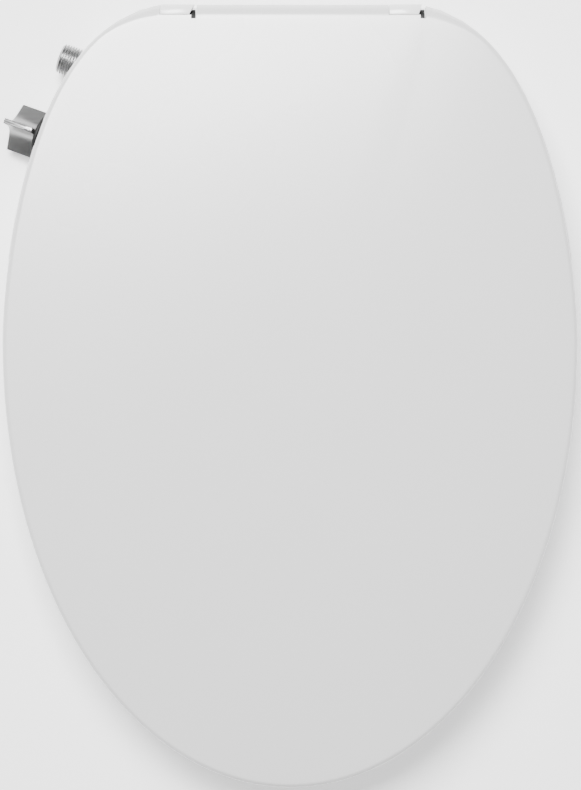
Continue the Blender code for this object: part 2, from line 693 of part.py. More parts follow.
collar_back = COLLAR_FACE - COLLAR_LENGTH
collar = turned(
    [(stem_hole, COLLAR_FACE), (COLLAR_FLANGE_RADIUS - 0.001, COLLAR_FACE),
     (COLLAR_FLANGE_RADIUS, COLLAR_FACE - 0.001), (COLLAR_FLANGE_RADIUS, COLLAR_FACE - COLLAR_FLANGE),
     (COLLAR_SLEEVE_RADIUS, COLLAR_FACE - COLLAR_FLANGE), (COLLAR_SLEEVE_RADIUS, collar_back),
     (stem_hole, collar_back)],
    KNOB_CENTRE, KNOB_AXIS, 28, ring=True,
)
keep(collar, "knob_collar", BLACK, 0.35)

ARM_TIP = 0.0012
FLUTE_ROUND = 0.0080


def knob_outline():
    """Three slim arms, one straight up, joined by round flutes."""
    points = []
    steps = 6
    for arm in range(3):
        heading = math.radians(90 - 120 * arm)
        away = Vector((math.cos(heading), math.sin(heading)))
        aside = Vector((math.sin(heading), -math.cos(heading)))
        points += [
            away * (KNOB_RADIUS - 0.0006) - aside * ARM_TIP, away * KNOB_RADIUS - aside * ARM_TIP * 0.5,
            away * KNOB_RADIUS + aside * ARM_TIP * 0.5, away * (KNOB_RADIUS - 0.0006) + aside * ARM_TIP,
        ]
        flute = math.radians(90 - 120 * arm - 60)
        hub = Vector((math.cos(flute), math.sin(flute))) * 0.0036
        start = points[-1]
        next_heading = math.radians(90 - 120 * (arm + 1))
        next_away = Vector((math.cos(next_heading), math.sin(next_heading)))
        next_aside = Vector((math.sin(next_heading), -math.cos(next_heading)))
        finish = next_away * (KNOB_RADIUS - 0.0006) - next_aside * ARM_TIP
        inner_start = away * 0.0062 + aside * 0.0022
        inner_finish = next_away * 0.0062 - next_aside * 0.0022
        points += [start.lerp(inner_start, k) for k in (0.5, 1.0)]
        points += [
            (1 - t) ** 2 * inner_start + 2 * t * (1 - t) * hub + t**2 * inner_finish
            for t in (i / steps for i in range(1, steps))
        ]
        points += [inner_finish.lerp(finish, k) for k in (0.0, 0.5)]
    return [(p.x, p.y) for p in points]


knob = plate(list(reversed(knob_outline())), KNOB_LENGTH)
across = KNOB_UP.cross(KNOB_AXIS)
knob.data.transform(Matrix.Translation((0, 0, -KNOB_INNER)))
knob.data.transform(Matrix((
    (across.x, KNOB_UP.x, KNOB_AXIS.x),
    (across.y, KNOB_UP.y, KNOB_AXIS.y),
    (across.z, KNOB_UP.z, KNOB_AXIS.z),
)).to_4x4())
knob.location = KNOB_CENTRE
keep(knob, "knob", SATIN, 0.28, 1.0)
hub_core = keep(rod(0.0064, on_knob(-KNOB_INNER + GAP), on_knob(0.004), 20), "knob_core")
cut(knob, hub_core, "UNION")
socket = keep(rod(STEM_RADIUS + GAP, on_knob(-0.020), on_knob(-0.0015), 16), "knob_socket")
cut(knob, socket)
marker_place = on_knob(-KNOB_INNER + 0.0022) + KNOB_UP * (KNOB_RADIUS + GAP)
keep(rod(0.0009, marker_place, marker_place + KNOB_UP * 0.0005, 12), "knob_marker", WHITE, 0.4)

nipple = turned(
    [(INLET_BORE, 0.0), (INLET_RADIUS - 0.0012, 0.0), (INLET_RADIUS, -0.0012),
     (INLET_RADIUS, -INLET_REACH), (0.0095, -INLET_REACH), (0.0095, -INLET_REACH - 0.0043),
     (0.0079, -INLET_REACH - 0.0043), (0.0079, -INLET_REACH - 0.0140),
     (INLET_BORE, -INLET_REACH - 0.0140)],
    INLET_END, OUTWARD, 24, ring=True,
)
keep(nipple, "inlet_nipple", SATIN, 0.35, 1.0)
inlet_filter = turned(
    [(0.0, -0.0070), (INLET_BORE - GAP, -0.0070), (INLET_BORE - GAP, -0.0085), (0.0, -0.0085)],
    INLET_END, OUTWARD, 18,
)
keep(inlet_filter, "inlet_filter", STEEL, 0.45, 1.0)
inlet_seal = turned(
    [(0.0045, -0.0040), (INLET_BORE - GAP, -0.0040), (INLET_BORE - GAP, -0.0065), (0.0045, -0.0065)],
    INLET_END, OUTWARD, 18, ring=True,
)
keep(inlet_seal, "inlet_seal", BLACK, 0.7)

# ================================================================ nozzles
FORWARD = Vector((0.0, -math.cos(NOZZLE_SLOPE), -math.sin(NOZZLE_SLOPE)))
BLOCK_FRONT = 0.0025
BLOCK_WALL = 0.003
BLOCK_LENGTH = 0.0675


def on_nozzle(x, back):
    """A point on a nozzle's axis, backwards from its resting tip."""
    return Vector((x, NOZZLE_TIP.y, NOZZLE_TIP.z)) - FORWARD * back


block_half_width = NOZZLE_PITCH / 2 + NOZZLE_BORE + 0.0025
nozzle_block = box((-block_half_width, -BLOCK_LENGTH / 2, -BLOCK_HALF_HEIGHT),
                   (block_half_width, BLOCK_LENGTH / 2, BLOCK_HALF_HEIGHT))
nozzle_block.location = on_nozzle(0.0, BLOCK_FRONT + BLOCK_LENGTH / 2)
nozzle_block.rotation_euler.x = NOZZLE_SLOPE
keep(nozzle_block, "nozzle_block", NATURAL, 0.45)
ports = []
for side in (-1, 1):
    x = side * NOZZLE_PITCH / 2
    ports.append(rod(NOZZLE_BORE, on_nozzle(x, BLOCK_FRONT + BLOCK_WALL), on_nozzle(x, 0.080), 20))
cut(nozzle_block, joined(ports, "nozzle_bores"))
ways = []
for side in (-1, 1):
    x = side * NOZZLE_PITCH / 2
    ways.append(rod(NOZZLE_RADIUS + GAP, on_nozzle(x, -0.005), on_nozzle(x, 0.010), 20))
cut(nozzle_block, joined(ways, "nozzle_ways"))

cap_start = BLOCK_FRONT + BLOCK_LENGTH + GAP
block_cap = box((-block_half_width, -0.00125, -BLOCK_HALF_HEIGHT),
                (block_half_width, 0.00125, BLOCK_HALF_HEIGHT))
block_cap.location = on_nozzle(0.0, cap_start + 0.00125)
block_cap.rotation_euler.x = NOZZLE_SLOPE
keep(block_cap, "nozzle_block_cap", NATURAL, 0.45)
cap_holes = [
    rod(0.0012, on_nozzle(side * NOZZLE_PITCH / 2, cap_start - 0.002),
        on_nozzle(side * NOZZLE_PITCH / 2, cap_start + 0.006), 10)
    for side in (-1, 1)
]
cut(block_cap, joined(cap_holes, "cap_holes"))

for side, label in ((-1, "rear_wash"), (1, "front_wash")):
    x = side * NOZZLE_PITCH / 2
    nozzle = turned(
        [(0.0, 0.0), (0.0024, -0.0002), (NOZZLE_RADIUS, -0.0020), (NOZZLE_RADIUS, -NOZZLE_LENGTH),
         (PISTON_RADIUS, -NOZZLE_LENGTH), (PISTON_RADIUS, -NOZZLE_LENGTH - PISTON_LENGTH),
         (0.0, -NOZZLE_LENGTH - PISTON_LENGTH)],
        on_nozzle(x, 0.0), FORWARD, 20,
    )
    keep(nozzle, f"{label}_nozzle", WHITE, 0.3)
    jet_low = on_nozzle(x, 0.008)
    jet = keep(rod(0.0009, jet_low, jet_low + Vector((0, 0, 0.006)), 10), f"{label}_jet")
    cut(nozzle, jet)
    spring = coil(on_nozzle(x, BLOCK_FRONT + BLOCK_WALL + GAP), on_nozzle(x, NOZZLE_LENGTH - GAP),
                  0.0043, 0.00033, 7, 8)
    keep(spring, f"{label}_spring", STEEL, 0.3, 1.0)

outlet = KNOB_CENTRE - OUTWARD * (VALVE_FACE + VALVE_DEPTH + 2 * GAP)
for side, label, shift in ((-1, "rear_wash", 0.006), (1, "front_wash", 0.018)):
    x = side * NOZZLE_PITCH / 2
    start = outlet + ALONG_WALL * shift
    start.z = 0.0185
    port = on_nozzle(x, cap_start + 0.0025 + GAP)
    swing = 0.5 * (side + 1)
    route = [
        start,
        start - OUTWARD * 0.008,
        (-0.092, -0.018 + 0.010 * swing, 0.0185),
        (-0.050, 0.014 + 0.009 * swing, 0.0205),
        (-0.020 + 0.012 * swing, 0.0255 + 0.0065 * swing, 0.0235),
        (x, port.y + 0.0060 + 0.004 * swing, port.z + 0.0008),
        port,
    ]
    keep(hose(route, 0.0025), f"{label}_hose", SOFT_WHITE, 0.5)

GUARD_Y = -0.0630
GUARD_Z = 0.0270
GUARD_HALF_WIDTH = 0.0275
GUARD_DROP = 0.0200
ARCH_HALF = 0.0052
guard_bottom = -GUARD_DROP
arches = []
for x in (-NOZZLE_PITCH / 2, NOZZLE_PITCH / 2):
    arches += [(x - ARCH_HALF, guard_bottom)]
    arches += [(x + px, -0.0115 + pz) for px, pz in arc((0, 0), ARCH_HALF, 180, 0, 6)]
    arches += [(x + ARCH_HALF, guard_bottom)]
guard_outline = [(-GUARD_HALF_WIDTH, guard_bottom), *arches, (GUARD_HALF_WIDTH, guard_bottom),
                 (GUARD_HALF_WIDTH, -0.0012), (-GUARD_HALF_WIDTH, -0.0012)]
nozzle_guard = plate(guard_outline, 0.0016)
nozzle_guard.data.transform(Matrix(((1, 0, 0, 0), (0, 0, -1, -0.0006), (0, 1, 0, 0), (0, 0, 0, 1))))
nozzle_guard.location = (0.0, GUARD_Y, GUARD_Z)
keep(nozzle_guard, "nozzle_guard", WHITE, 0.3)
guard_end = Vector((GUARD_HALF_WIDTH, 0.0, 0.0))
guard_hub = Vector((0.0, GUARD_Y, GUARD_Z))
guard_barrel = rod(0.0022, guard_hub - guard_end, guard_hub + guard_end, 16)
cut(nozzle_guard, keep(guard_barrel, "guard_barrel"), "UNION")
guard_pin_way = rod(0.0011, guard_hub - 1.5 * guard_end, guard_hub + 1.5 * guard_end, 12)
cut(nozzle_guard, keep(guard_pin_way, "guard_pin_way"))
guard_pin = rod(0.0008, (-NOZZLE_BAY_HALF_WIDTH + GAP, GUARD_Y, GUARD_Z),
                (NOZZLE_BAY_HALF_WIDTH - GAP, GUARD_Y, GUARD_Z), 12)
keep(guard_pin, "guard_pin", STEEL, 0.3, 1.0)

# ================================================================ hinge posts and dampers
AXIS = (HINGE_Y, HINGE_Z)


def knuckle_outline(foot):
    """A round knuckle on the hinge line whose neck leans forwards, clear of the lid's roll."""
    return [*foot[:2], *arc(AXIS, KNUCKLE_RADIUS, -122, 178, 16), *foot[2:]]


post_foot = BODY_TOP + GAP
for side, label, drives in ((-1, "left", "lid"), (1, "right", "seat")):
    low_x = side * POST_X - POST_WIDTH / 2
    high_x = side * POST_X + POST_WIDTH / 2
    outline = knuckle_outline([
        (POST_FRONT_Y, post_foot), (0.0290, post_foot),
        (0.0225, post_foot + POST_FOOT), (POST_FRONT_Y, post_foot + POST_FOOT),
    ])
    post = side_plate(outline, low_x, high_x)
    keep(post, f"hinge_post_{label}", BLACK, 0.4)
    bore = rod(DAMPER_RADIUS + GAP, (low_x - 0.005, *AXIS), (high_x + 0.005, *AXIS), 24)
    cut(post, keep(bore, f"post_bore_{label}"))
    hole_x = side * POST_X
    hole = rod(0.0019, (hole_x, POST_SCREW_Y, 0.030), (hole_x, POST_SCREW_Y, 0.045), 12)
    cut(post, keep(hole, f"post_hole_{label}"))
    screw_seat = post_foot + POST_FOOT + GAP
    screw = turned(
        [(0.0, screw_seat + 0.0018), (0.0022, screw_seat + 0.0016), (0.0034, screw_seat + 0.0004),
         (0.0034, screw_seat), (0.0016, screw_seat), (0.0016, 0.0300), (0.0, 0.0290)],
        (hole_x, POST_SCREW_Y, 0.0), (0, 0, 1), 14,
    )
    keep(screw, f"post_screw_{label}", STEEL, 0.3, 1.0)
    damper = turned(
        [(SHAFT_RADIUS + GAP, 0.0), (DAMPER_RADIUS - 0.0004, 0.0), (DAMPER_RADIUS, -0.0004),
         (DAMPER_RADIUS, -0.0175), (0.0, -0.0175), (0.0, -0.0150), (SHAFT_RADIUS + GAP, -0.0150)],
        (side * (POST_X - POST_WIDTH / 2 + 0.0006), *AXIS), (-side, 0, 0), 24, ring=True,
    )
    keep(damper, f"{drives}_damper", BLACK, 0.4)
    shaft_low = side * (LID_LUG_X - LID_LUG_WIDTH / 2 - 0.0010)
    shaft_high = side * (POST_X - POST_WIDTH / 2 + 0.0140)
    keep(rod(SHAFT_RADIUS, (shaft_low, *AXIS), (shaft_high, *AXIS), 16), f"{drives}_damper_shaft",
         STEEL, 0.3, 1.0)

# ================================================================ seat ring
ring_right = egg(RING_INSET, RING_REAR_Y, 0.025, 31)
ring_outer = mirror_points(ring_right)


def ring_point(point, share, inner_grow=0.0):
    """A point part of the way from the ring's outer edge to the hole."""
    hole = seat_hole(point, inner_grow)
    return (point[0] + (hole[0] - point[0]) * share, point[1] + (hole[1] - point[1]) * share)


RING_SECTION = (
    (0.0, RING_BOTTOM), (0.0, RING_TOP - 0.014), (0.025, RING_TOP - 0.007), (0.09, RING_TOP - 0.002),
    (0.30, RING_TOP), (0.60, RING_TOP - 0.001), (0.84, RING_TOP - 0.004), (0.95, RING_TOP - 0.0075),
    (1.0, RING_TOP - 0.013), (1.0, RING_BOTTOM),
)
seat_ring = skin([at_height([ring_point(p, share) for p in ring_outer], z) for share, z in RING_SECTION])
thicken(seat_ring, RING_WALL)
keep(seat_ring, "seat_ring", WHITE, 0.22)

body_clearance = plate(body_loop(0.002), BODY_TOP + 0.0006 + 0.010)
body_clearance.location.z = -0.010
keep(body_clearance, "body_clearance")
bay_clearance = keep(
    box((-0.036, -0.130, -0.010), (0.036, -0.050, BODY_TOP + 0.0006)), "bay_clearance")
cut(seat_ring, body_clearance)
cut(seat_ring, bay_clearance)
seat_arms = []
for side in (-1, 1):
    low_x = side * SEAT_LUG_X - SEAT_LUG_WIDTH / 2
    high_x = side * SEAT_LUG_X + SEAT_LUG_WIDTH / 2
    arm = knuckle_outline([(0.0060, 0.0380), (0.0240, 0.0370), (0.0240, 0.0445), (0.0060, 0.0445)])
    seat_arms.append(side_plate(arm, low_x, high_x))
cut(seat_ring, joined(seat_arms, "seat_arms"), "UNION")
shaft_way = keep(rod(SHAFT_RADIUS + GAP, (-0.070, *AXIS), (0.070, *AXIS), 20), "shaft_way")
cut(seat_ring, shaft_way)

inner_edge = RING_WALL + GAP
under_outer = mirror_points(egg(RING_INSET + inner_edge, RING_REAR_Y - inner_edge, 0.022, 31))
under_inner = [seat_hole(point, inner_edge) for point in under_outer]
under_low, under_high = RING_BOTTOM + 0.0002, RING_BOTTOM + 0.0027
seat_underside = skin(
    [at_height(under_outer, under_low), at_height(under_outer, under_high),
     at_height(under_inner, under_high), at_height(under_inner, under_low)],
    closed=True,
)
keep(seat_underside, "seat_underside", SOFT_WHITE, 0.4)
cut(seat_underside, body_clearance)
cut(seat_underside, bay_clearance)

for number, (x, y) in enumerate(screw_places(SEAT_BUMPERS), 1):
    bumper_top = under_low - GAP
    bumper = turned(
        [(0.0, bumper_top), (0.0095, bumper_top), (0.0095, 0.0030), (0.0082, 0.0008), (0.0060, 0.0),
         (0.0, 0.0)],
        (x, y, 0.0), (0, 0, 1), 20,
    )
    keep(bumper, f"seat_bumper_{number}", SOFT_WHITE, 0.6)

# ================================================================ lid
lid_outer = mirror_points(egg(0.0, REAR_Y, 0.030, 75))
LID_MIDDLE = (0.0, -0.200)
CROWN_HALF_WIDTH, CROWN_HALF_LENGTH = 0.180, 0.240
CROWN_SHARES = (0.8, 0.5, 0.2)
ROUND_STEPS = 4
LEAST_ROUND = 0.0005


def smooth_step(value):
    value = min(1.0, max(0.0, value))
    return value * value * (3 - 2 * value)


def edge_round(y):
    """The lid's edge radius: small along the sides, a full roll round the hinge line at the rear."""
    share = min(1.0, max(0.0, (y - REAR_Y + 0.025) / 0.025))
    return LID_SIDE_ROUND + (LID_REAR_ROLL - LID_SIDE_ROUND) * share**2


def skirt_end(y):
    """Where the skirt ends: low along the sides, just under the hinge line at the rear."""
    low = BODY_TOP + LID_SKIRT_GAP
    return low + (HINGE_Z - 0.0015 - low) * smooth_step((y - 0.016) / 0.026)


def drawn_in(points, distances):
    """Moves each point of a loop inwards by its own distance."""
    moved = []
    for i, (point, distance) in enumerate(zip(points, distances)):
        before, after = points[i - 1], points[(i + 1) % len(points)]
        along = Vector((after[0] - before[0], after[1] - before[1])).normalized()
        moved.append((point[0] - along.y * distance, point[1] + along.x * distance))
    return moved


def lid_surface(drawn, wall):
    """The lid's loops from the skirt's end to the crown, over a plan drawn in by a wall."""
    def rounding(y):
        return max(edge_round(y) - wall, LEAST_ROUND)

    top = LID_TOP - wall
    loops = [[(x, y, skirt_end(edge[1])) for (x, y), edge in zip(drawn, lid_outer)]]
    for i in range(ROUND_STEPS + 1):
        a = math.radians(90 * i / ROUND_STEPS)
        inset = [wall + rounding(edge[1]) * (1 - math.cos(a)) for edge in lid_outer]
        plan = drawn_in(lid_outer, inset)
        loops.append([
            (x, y, top - rounding(edge[1]) * (1 - math.sin(a))) for (x, y), edge in zip(plan, lid_outer)
        ])
    rim, count = loops[-1], len(lid_outer)
    for share in CROWN_SHARES:
        ring = []
        for i, (x, y, z) in enumerate(rim):
            turn = 2 * math.pi * (i + 1) / count + math.pi / 2
            even_x = CROWN_HALF_WIDTH * math.cos(turn)
            even_y = CROWN_HALF_LENGTH * math.sin(turn)
            across = share * (x * share + even_x * (1 - share))
            along = share * ((y - LID_MIDDLE[1]) * share + even_y * (1 - share))
            ring.append((across, LID_MIDDLE[1] + along, top + LID_CROWN * (1 - share**2)))
        loops.append(ring)
    return loops, (*LID_MIDDLE, top + LID_CROWN)


outside, outside_hub = lid_surface(lid_outer, 0.0)
inside, inside_hub = lid_surface(drawn_in(lid_outer, [LID_WALL] * len(lid_outer)), LID_WALL)
lid = skin([*reversed(inside), *outside], inside_hub, outside_hub)
keep(lid, "lid", WHITE, 0.18)

WINDOW_LEFT = (-0.0856, -0.0614)
WINDOW_RIGHT = (0.0649, 0.0893)
windows = [
    box((low, WINDOW_FRONT_Y, HINGE_Z - 0.010), (high, REAR_Y + 0.010, LID_TOP + 0.010))
    for low, high in (WINDOW_LEFT, WINDOW_RIGHT)
]
cut(lid, joined(windows, "lid_windows"))
notches = [
    box((high - 0.0036, WINDOW_FRONT_Y - 0.0025, HINGE_Z - 0.010), (high, REAR_Y + 0.010, LID_TOP + 0.010))
    for low, high in (WINDOW_LEFT, WINDOW_RIGHT)
]
cut(lid, joined(notches, "window_notches"))
lid_lugs = []
for side in (-1, 1):
    low_x = side * LID_LUG_X - LID_LUG_WIDTH / 2
    high_x = side * LID_LUG_X + LID_LUG_WIDTH / 2
    lug = [(HINGE_Y - 0.012, LID_TOP - 0.0015), *arc(AXIS, KNUCKLE_RADIUS, 180, 360, 12),
           (HINGE_Y + KNUCKLE_RADIUS, HINGE_Z + 0.002), (HINGE_Y + 0.0045, LID_TOP - 0.0022)]
    lid_lugs.append(side_plate(lug, low_x, high_x))
cut(lid, joined(lid_lugs, "lid_lugs"), "UNION")
cut(lid, shaft_way)

CAP_FRONT = WINDOW_FRONT_Y + 0.0003
CAP_LEFT = ((-0.0853, -0.0667), (-0.0853, -0.0622))
CAP_RIGHT = ((0.0652, 0.0842), (0.0652, 0.0875))
inner_radius = KNUCKLE_RADIUS + 0.0004
for label, ((low, front_high), (low_again, rear_high)) in (("left", CAP_LEFT), ("right", CAP_RIGHT)):
    front = math.degrees(math.acos((CAP_FRONT - HINGE_Y) / inner_radius))
    section = [(CAP_FRONT, LID_TOP - 0.0006), *reversed(arc(AXIS, inner_radius, 0, front, 6)),
               (REAR_Y - 0.0004, HINGE_Z), (REAR_Y - 0.0004, HINGE_Z + 0.0050),
               (REAR_Y - 0.0022, LID_TOP - 0.0022)]
    cap = side_plate(section, low, rear_high)
    keep(cap, f"lid_hinge_cap_{label}", WHITE, 0.2)
    slant = plate([(front_high, CAP_FRONT - 0.001), (front_high + 0.020, CAP_FRONT - 0.001),
                   (rear_high + 0.020, REAR_Y + 0.001), (rear_high, REAR_Y + 0.001)], 0.030)
    slant.location.z = HINGE_Z - 0.010
    cut(cap, keep(slant, f"cap_slant_{label}"))


for number, (x, y) in enumerate(screw_places(LID_BUMPERS), 1):
    bumper_low = RING_TOP + GAP
    bumper_high = LID_TOP - LID_WALL + BUMPER_CROWN_SHARE * LID_CROWN - GAP
    bumper = turned(
        [(0.0, bumper_high), (0.0060, bumper_high), (0.0060, bumper_low + 0.0012), (0.0048, bumper_low),
         (0.0, bumper_low)],
        (x, y, 0.0), (0, 0, 1), 18,
    )
    keep(bumper, f"lid_bumper_{number}", SOFT_WHITE, 0.6)
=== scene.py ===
import math

import bmesh
import bpy
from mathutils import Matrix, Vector


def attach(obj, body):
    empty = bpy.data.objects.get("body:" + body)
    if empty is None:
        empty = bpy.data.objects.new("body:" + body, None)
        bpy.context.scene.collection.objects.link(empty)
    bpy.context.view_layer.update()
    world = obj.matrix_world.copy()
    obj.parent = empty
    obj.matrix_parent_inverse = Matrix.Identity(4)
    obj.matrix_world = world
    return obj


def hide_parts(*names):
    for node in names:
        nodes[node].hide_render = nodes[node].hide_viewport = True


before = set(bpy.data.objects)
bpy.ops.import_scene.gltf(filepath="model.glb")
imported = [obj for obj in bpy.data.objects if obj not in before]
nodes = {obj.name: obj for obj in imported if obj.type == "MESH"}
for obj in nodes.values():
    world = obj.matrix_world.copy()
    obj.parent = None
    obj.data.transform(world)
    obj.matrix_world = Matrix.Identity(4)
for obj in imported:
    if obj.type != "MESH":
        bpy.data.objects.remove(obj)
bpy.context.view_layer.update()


# ---------------------------------------------------------------- floor, light and camera
# A plain pale floor at the height of the toilet's deck, a wide soft light over the left rear
# corner, and a camera straight above the lid.
FLOOR_REACH = 6.0
LIT_POINT = (0.0, -0.2, 0.03)
LIGHT_SIZE = (1.2, 1.2)


def plain_floor(reach):
    mesh = bpy.data.meshes.new("floor")
    corners = [(-reach, -reach, 0), (reach, -reach, 0), (reach, reach, 0), (-reach, reach, 0)]
    mesh.from_pydata(corners, [], [(0, 1, 2, 3)])
    floor = bpy.data.objects.new("floor", mesh)
    bpy.context.scene.collection.objects.link(floor)
    paper = bpy.data.materials.new("floor_paper")
    paper.use_nodes = True
    shader = paper.node_tree.nodes["Principled BSDF"]
    shader.inputs["Base Color"].default_value = (0.93, 0.93, 0.93, 1.0)
    shader.inputs["Roughness"].default_value = 0.9
    shader.inputs["Emission Color"].default_value = (1.0, 1.0, 1.0, 1.0)
    shader.inputs["Emission Strength"].default_value = 0.7
    mesh.materials.append(paper)


def soft_light(name, place, aim, size, watts):
    lamp = bpy.data.lights.new(name, "AREA")
    lamp.shape = "RECTANGLE"
    lamp.size, lamp.size_y = size
    lamp.energy = watts
    obj = bpy.data.objects.new(name, lamp)
    obj.location = place
    obj.rotation_euler = (Vector(aim) - Vector(place)).to_track_quat("-Z", "Y").to_euler()
    bpy.context.scene.collection.objects.link(obj)


plain_floor(FLOOR_REACH)
soft_light("key_light", (-0.35, 0.85, 2.25), LIT_POINT, LIGHT_SIZE, 195.0)
soft_light("fill_light", (1.8, -1.3, 1.4), LIT_POINT, LIGHT_SIZE, 10.0)

world = bpy.data.worlds.new("studio")
world.use_nodes = True
world.node_tree.nodes["Background"].inputs["Color"].default_value = (1.0, 1.0, 1.0, 1.0)
world.node_tree.nodes["Background"].inputs["Strength"].default_value = 0.25
bpy.context.scene.world = world

lens = bpy.data.cameras.new("camera")
lens.lens = 114.6
camera = bpy.data.objects.new("camera", lens)
camera.location = (0.0003, -0.2126, 1.706)
bpy.context.scene.collection.objects.link(camera)
bpy.context.scene.camera = camera


# ---------------------------------------------------------------- lid
# One thin moulded shell of glossy white plastic. Its top is almost flat, its edge turns down
# all round, and at the rear it rolls over the hinge line.
LID_HALF_WIDTH, WIDEST_Y, NOSE_Y, REAR_Y = 0.189, -0.1775, -0.4706, 0.045
SHOULDER_LENGTH = 0.228
FRONT_FULLNESS, REAR_FULLNESS, REAR_BLUNTNESS = 2.05, 1.7, 4.1
BODY_TOP = 0.034
LID_TOP, LID_CROWN, LID_WALL = 0.056, 0.004, 0.003
LID_SIDE_ROUND, LID_REAR_ROLL = 0.0035, 0.0105
LID_MIDDLE_Y = -0.200
HINGE_Y, HINGE_Z = REAR_Y - LID_REAR_ROLL, LID_TOP - LID_REAR_ROLL
HINGE = (HINGE_Y, HINGE_Z)
KNUCKLE_RADIUS = 0.0072
SHAFT_WAY, SHAFT_SPAN = 0.0033, 0.070
REAR_CORNER, REAR_CORNER_ANGLE = 0.030, 75
ROLL_REACH = 0.025
SKIRT_GAP, SKIRT_RISE_Y, SKIRT_RISE = 0.0015, 0.016, 0.026
CROWN_HALF_WIDTH, CROWN_HALF_LENGTH = 0.180, 0.240
CROWN_SHARES = (0.98, 0.95, 0.9, 0.84, 0.77, 0.7, 0.62, 0.54, 0.46, 0.38, 0.3, 0.22, 0.14, 0.07)
WINDOW_FRONT_Y = 0.037
WINDOW_ENDS = ((-0.0856, -0.0614), (0.0649, 0.0893))
NOTCH_WIDTH, NOTCH_DEPTH = 0.0036, 0.0025
CUT_PAST = 0.010
LUG_X, LUG_HALF_WIDTH = 0.043, 0.005


def arc(centre, radius, first, last, steps):
    """Points on an arc, by angle in degrees."""
    span = (math.radians(first + (last - first) * i / steps) for i in range(steps + 1))
    return [(centre[0] + radius * math.cos(a), centre[1] + radius * math.sin(a)) for a in span]


def egg_half_width(y, inset):
    """Half width of the seat's plan at y: a front and a rear superellipse."""
    if y <= WIDEST_Y:
        share = (WIDEST_Y - y) / (WIDEST_Y - NOSE_Y - inset)
        return (LID_HALF_WIDTH - inset) * max(0.0, 1 - share**FRONT_FULLNESS) ** 0.5
    share = (y - WIDEST_Y) / (SHOULDER_LENGTH - inset)
    return (LID_HALF_WIDTH - inset) * max(0.0, 1 - share**REAR_FULLNESS) ** (1 / REAR_BLUNTNESS)


def egg(inset, rear_y, corner, corner_angle, last_y=None, fine=4):
    """Right half of the plan outline, from the rear centre line to the nose or to last_y."""
    start_y = rear_y - corner * (1 - math.sin(math.radians(corner_angle)))
    start_x = egg_half_width(start_y, inset)
    centre = (start_x - corner * math.cos(math.radians(corner_angle)), rear_y - corner)
    points = [(centre[0] * i / (4 * fine), rear_y) for i in range(4 * fine)]
    points += arc(centre, corner, 90, corner_angle, 4 * fine)
    stop = last_y if last_y is not None else WIDEST_Y
    shoulder = SHOULDER_LENGTH - inset
    first = math.asin(((start_y - WIDEST_Y) / shoulder) ** (REAR_FULLNESS / 2))
    final = math.asin((max(0.0, stop - WIDEST_Y) / shoulder) ** (REAR_FULLNESS / 2))
    steps = 11 * fine
    for i in range(1, steps + 1):
        share = abs(math.sin(first + (final - first) * i / steps)) ** (2 / REAR_FULLNESS)
        y = WIDEST_Y + shoulder * share
        points.append((egg_half_width(y, inset), y))
    if last_y is not None:
        return points
    reach = WIDEST_Y - NOSE_Y - inset
    steps = 13 * fine
    for i in range(1, steps + 1):
        a = math.pi / 2 * i / steps
        forward = reach * math.sin(a) ** (2 / FRONT_FULLNESS)
        points.append(((LID_HALF_WIDTH - inset) * math.cos(a), WIDEST_Y - forward))
    points[-1] = (0.0, NOSE_Y + inset)
    return points


def whole_outline(right):
    """Closes a right half, from rear centre to front centre, into an anticlockwise loop."""
    left = [(-x, y) for x, y in reversed(right) if abs(x) > 1e-9]
    return list(reversed(right + left))


def drawn_in(points, distances):
    """Moves each point of a loop inwards by its own distance."""
    moved = []
    for i, (point, distance) in enumerate(zip(points, distances)):
        before, after = points[i - 1], points[(i + 1) % len(points)]
        along = Vector((after[0] - before[0], after[1] - before[1])).normalized()
        moved.append((point[0] - along.y * distance, point[1] + along.x * distance))
    return moved


def smooth_step(value):
    value = min(1.0, max(0.0, value))
    return value * value * (3 - 2 * value)


def edge_round(y):
    """The lid's edge radius: small along the sides, a full roll round the hinge line at the rear."""
    share = min(1.0, max(0.0, (y - REAR_Y + ROLL_REACH) / ROLL_REACH))
    return LID_SIDE_ROUND + (LID_REAR_ROLL - LID_SIDE_ROUND) * share**2


def skirt_end(y):
    """Where the skirt ends: low along the sides, just under the hinge line at the rear."""
    low = BODY_TOP + SKIRT_GAP
    return low + (HINGE_Z - SKIRT_GAP - low) * smooth_step((y - SKIRT_RISE_Y) / SKIRT_RISE)


def lofted(name, loops, first_hub=None, last_hub=None, closed=False):
    """A surface through matching loops of points, closed over the first or last loop by a hub."""
    verts = [point for loop in loops for point in loop]
    count, rows = len(loops[0]), len(loops)
    faces = []
    for row in range(rows if closed else rows - 1):
        low, high = row * count, (row + 1) % rows * count
        for i in range(count):
            j = (i + 1) % count
            faces.append((low + i, low + j, high + j, high + i))
    if first_hub is not None:
        verts.append(first_hub)
        faces += [((i + 1) % count, i, len(verts) - 1) for i in range(count)]
    if last_hub is not None:
        verts.append(last_hub)
        top = (rows - 1) * count
        faces += [(top + i, top + (i + 1) % count, len(verts) - 1) for i in range(count)]
    mesh = bpy.data.meshes.new(name)
    mesh.from_pydata(verts, [], faces)
    obj = bpy.data.objects.new(name, mesh)
    bpy.context.scene.collection.objects.link(obj)
    return obj


